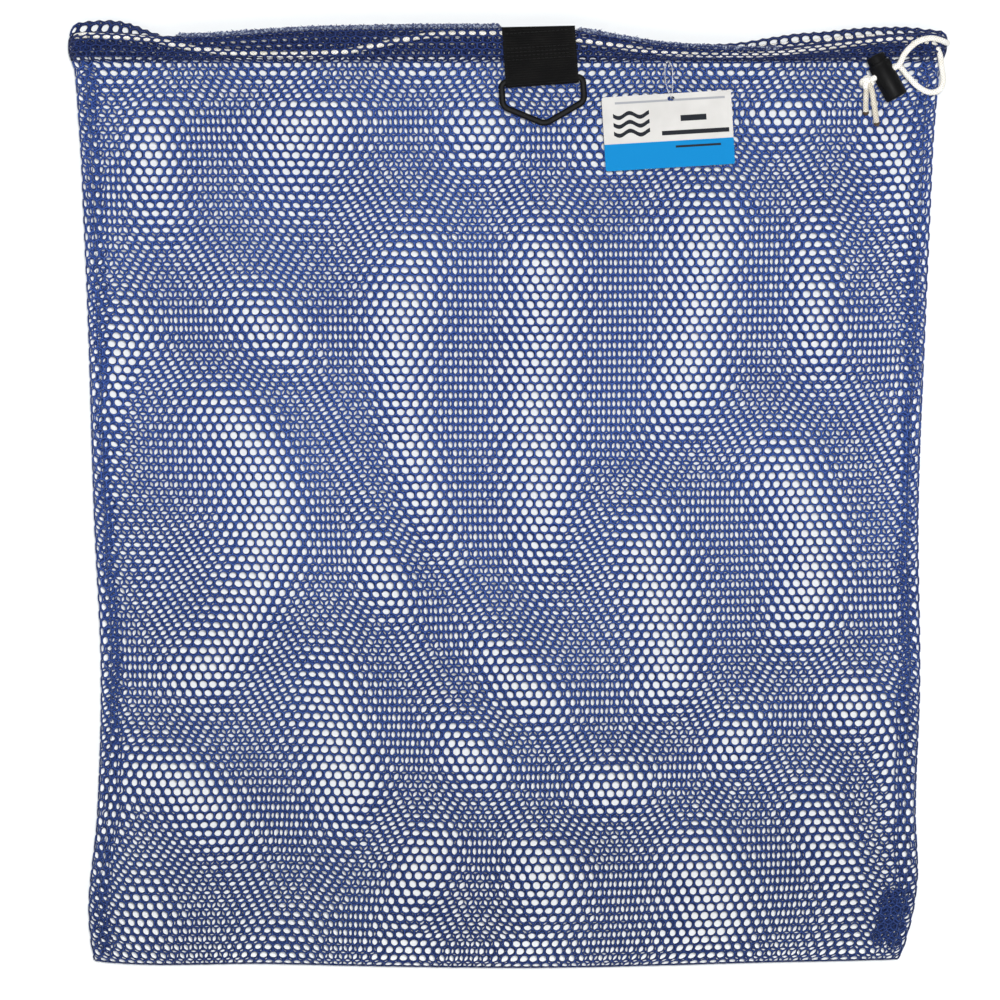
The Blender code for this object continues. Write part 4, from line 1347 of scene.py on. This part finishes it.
def build_spring(steel):
    """The coil between the barrel's floor and the plunger's foot, closer wound at its ends."""
    wire, turns, coil, count = 0.00048, 4.5, 0.0045, 220
    low = 0.0026 + wire
    high = PLUNGER_FOOT - 0.0003 - wire
    matrix = lock_frame()
    route = []
    for number in range(count):
        share = number / (count - 1)
        angle = 2 * math.pi * turns * share
        rise = float(fade(share, 0.0, 1.0)) * 0.35 + share * 0.65
        local = Vector((coil * math.cos(angle), coil * math.sin(angle), low + (high - low) * rise))
        route.append(tuple(matrix @ local))
    spring = tube("spring_coil", route, wire, steel, sides=10)
    fit(spring, "cord_lock", "spring_steel", "lock_spring")
    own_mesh(spring)


# Stage and light

WALL_Y = 0.021
FLOOR_Z = -0.74


def stage_plane(name, corners, material):
    mesh = bpy.data.meshes.new(name)
    mesh.from_pydata(corners, [], [(0, 1, 2, 3)])
    mesh.materials.append(material)
    add_object(name, mesh)


def build_stage():
    """A pale wall that is clear from behind, and a floor."""
    wall = Paint("Pale_Wall")
    wall.set("Base Color", (0.79, 0.81, 0.82))
    wall.set("Roughness", 0.9)
    back = wall.add("NewGeometry").outputs["Backfacing"]
    clear = wall.add("BsdfTransparent").outputs[0]
    mixed = wall.add("MixShader", {0: back, 1: wall.shader.outputs[0], 2: clear}).outputs[0]
    wall.put(wall.tree.nodes["Material Output"].inputs["Surface"], mixed)
    reach = 3.0
    stage_plane("wall", (
        (-reach, WALL_Y, FLOOR_Z), (reach, WALL_Y, FLOOR_Z), (reach, WALL_Y, 2.4),
        (-reach, WALL_Y, 2.4)), wall.material)
    floor = Paint("Pale_Floor")
    floor.set("Base Color", (0.86, 0.86, 0.85))
    floor.set("Roughness", 0.8)
    stage_plane("floor", (
        (-6, -6, FLOOR_Z), (6, -6, FLOOR_Z), (6, 6, FLOOR_Z), (-6, 6, FLOOR_Z)), floor.material)


def add_area(name, place, aim, size, power):
    data = bpy.data.lights.new(name, "AREA")
    data.shape = "SQUARE"
    data.size = size
    data.energy = power
    light = add_object(name, data)
    light.location = place
    light.rotation_mode = "QUATERNION"
    light.rotation_quaternion = (Vector(aim) - Vector(place)).to_track_quat("-Z", "Y")


def add_lights():
    world = bpy.data.worlds.new("Studio")
    world.use_nodes = True
    background = world.node_tree.nodes["Background"]
    background.inputs["Color"].default_value = (1.0, 1.0, 1.0, 1)
    background.inputs["Strength"].default_value = 0.45
    bpy.context.scene.world = world
    add_area("Key", (0.05, -2.83, -0.25), (0.0, 0.0, -0.30), 0.12, 70.0)
    add_area("Back_Fill", (0.8, 2.4, 0.8), (0.0, 0.0, -0.3), 1.2, 30.0)
    bpy.context.scene.view_settings.view_transform = "Standard"


def main():
    add_camera()
    cord = cord_material("White_Cord", (0.93, 0.92, 0.89), (0.60, 0.58, 0.53), 6)
    melted = plastic_material("Melted_Cord", (0.055, 0.040, 0.028), 0.45)
    worn = cord_material("Worn_Cord", (0.70, 0.66, 0.58), (0.34, 0.30, 0.24), 6)
    build_free_cord(cord, worn, melted)
    build_held_cord(cord)

    knitted = knit_material("Blue_Knit", (0.064, 0.150, 0.49), (0.028, 0.070, 0.32), (0.004, 0.014, 0.12))
    # The hems' knit is the nets' cloth with darker colours: painted shade of the folded, layered hems
    shaded_hem_knit = knit_material("Shaded_Bunched_Knit", (0.016, 0.044, 0.20), (0.007, 0.020, 0.11), (0.002, 0.005, 0.045))
    thread = thread_material("Navy_Thread", (0.12, 0.16, 0.30), (0.03, 0.045, 0.12))
    black_thread = thread_material("Black_Thread", (0.010, 0.010, 0.011), (0.002, 0.002, 0.002))
    webbing = webbing_material()
    plastic = plastic_material("Moulded_Black", (0.0022, 0.0022, 0.0025), 0.50)
    build_cloth(knitted, shaded_hem_knit)
    build_allowances(knitted)
    build_raw_edge(fuzz_material())
    build_hem_stitching(thread)
    build_side_stitching(thread)
    build_tab_stitching(black_thread)
    build_strap(webbing)
    build_ring(plastic)
    build_tag(card_material(True), card_material(False), clear_material())
    build_barrel(plastic)
    build_plunger(plastic)
    build_spring(steel_material())
    build_stage()
    add_lights()


main()
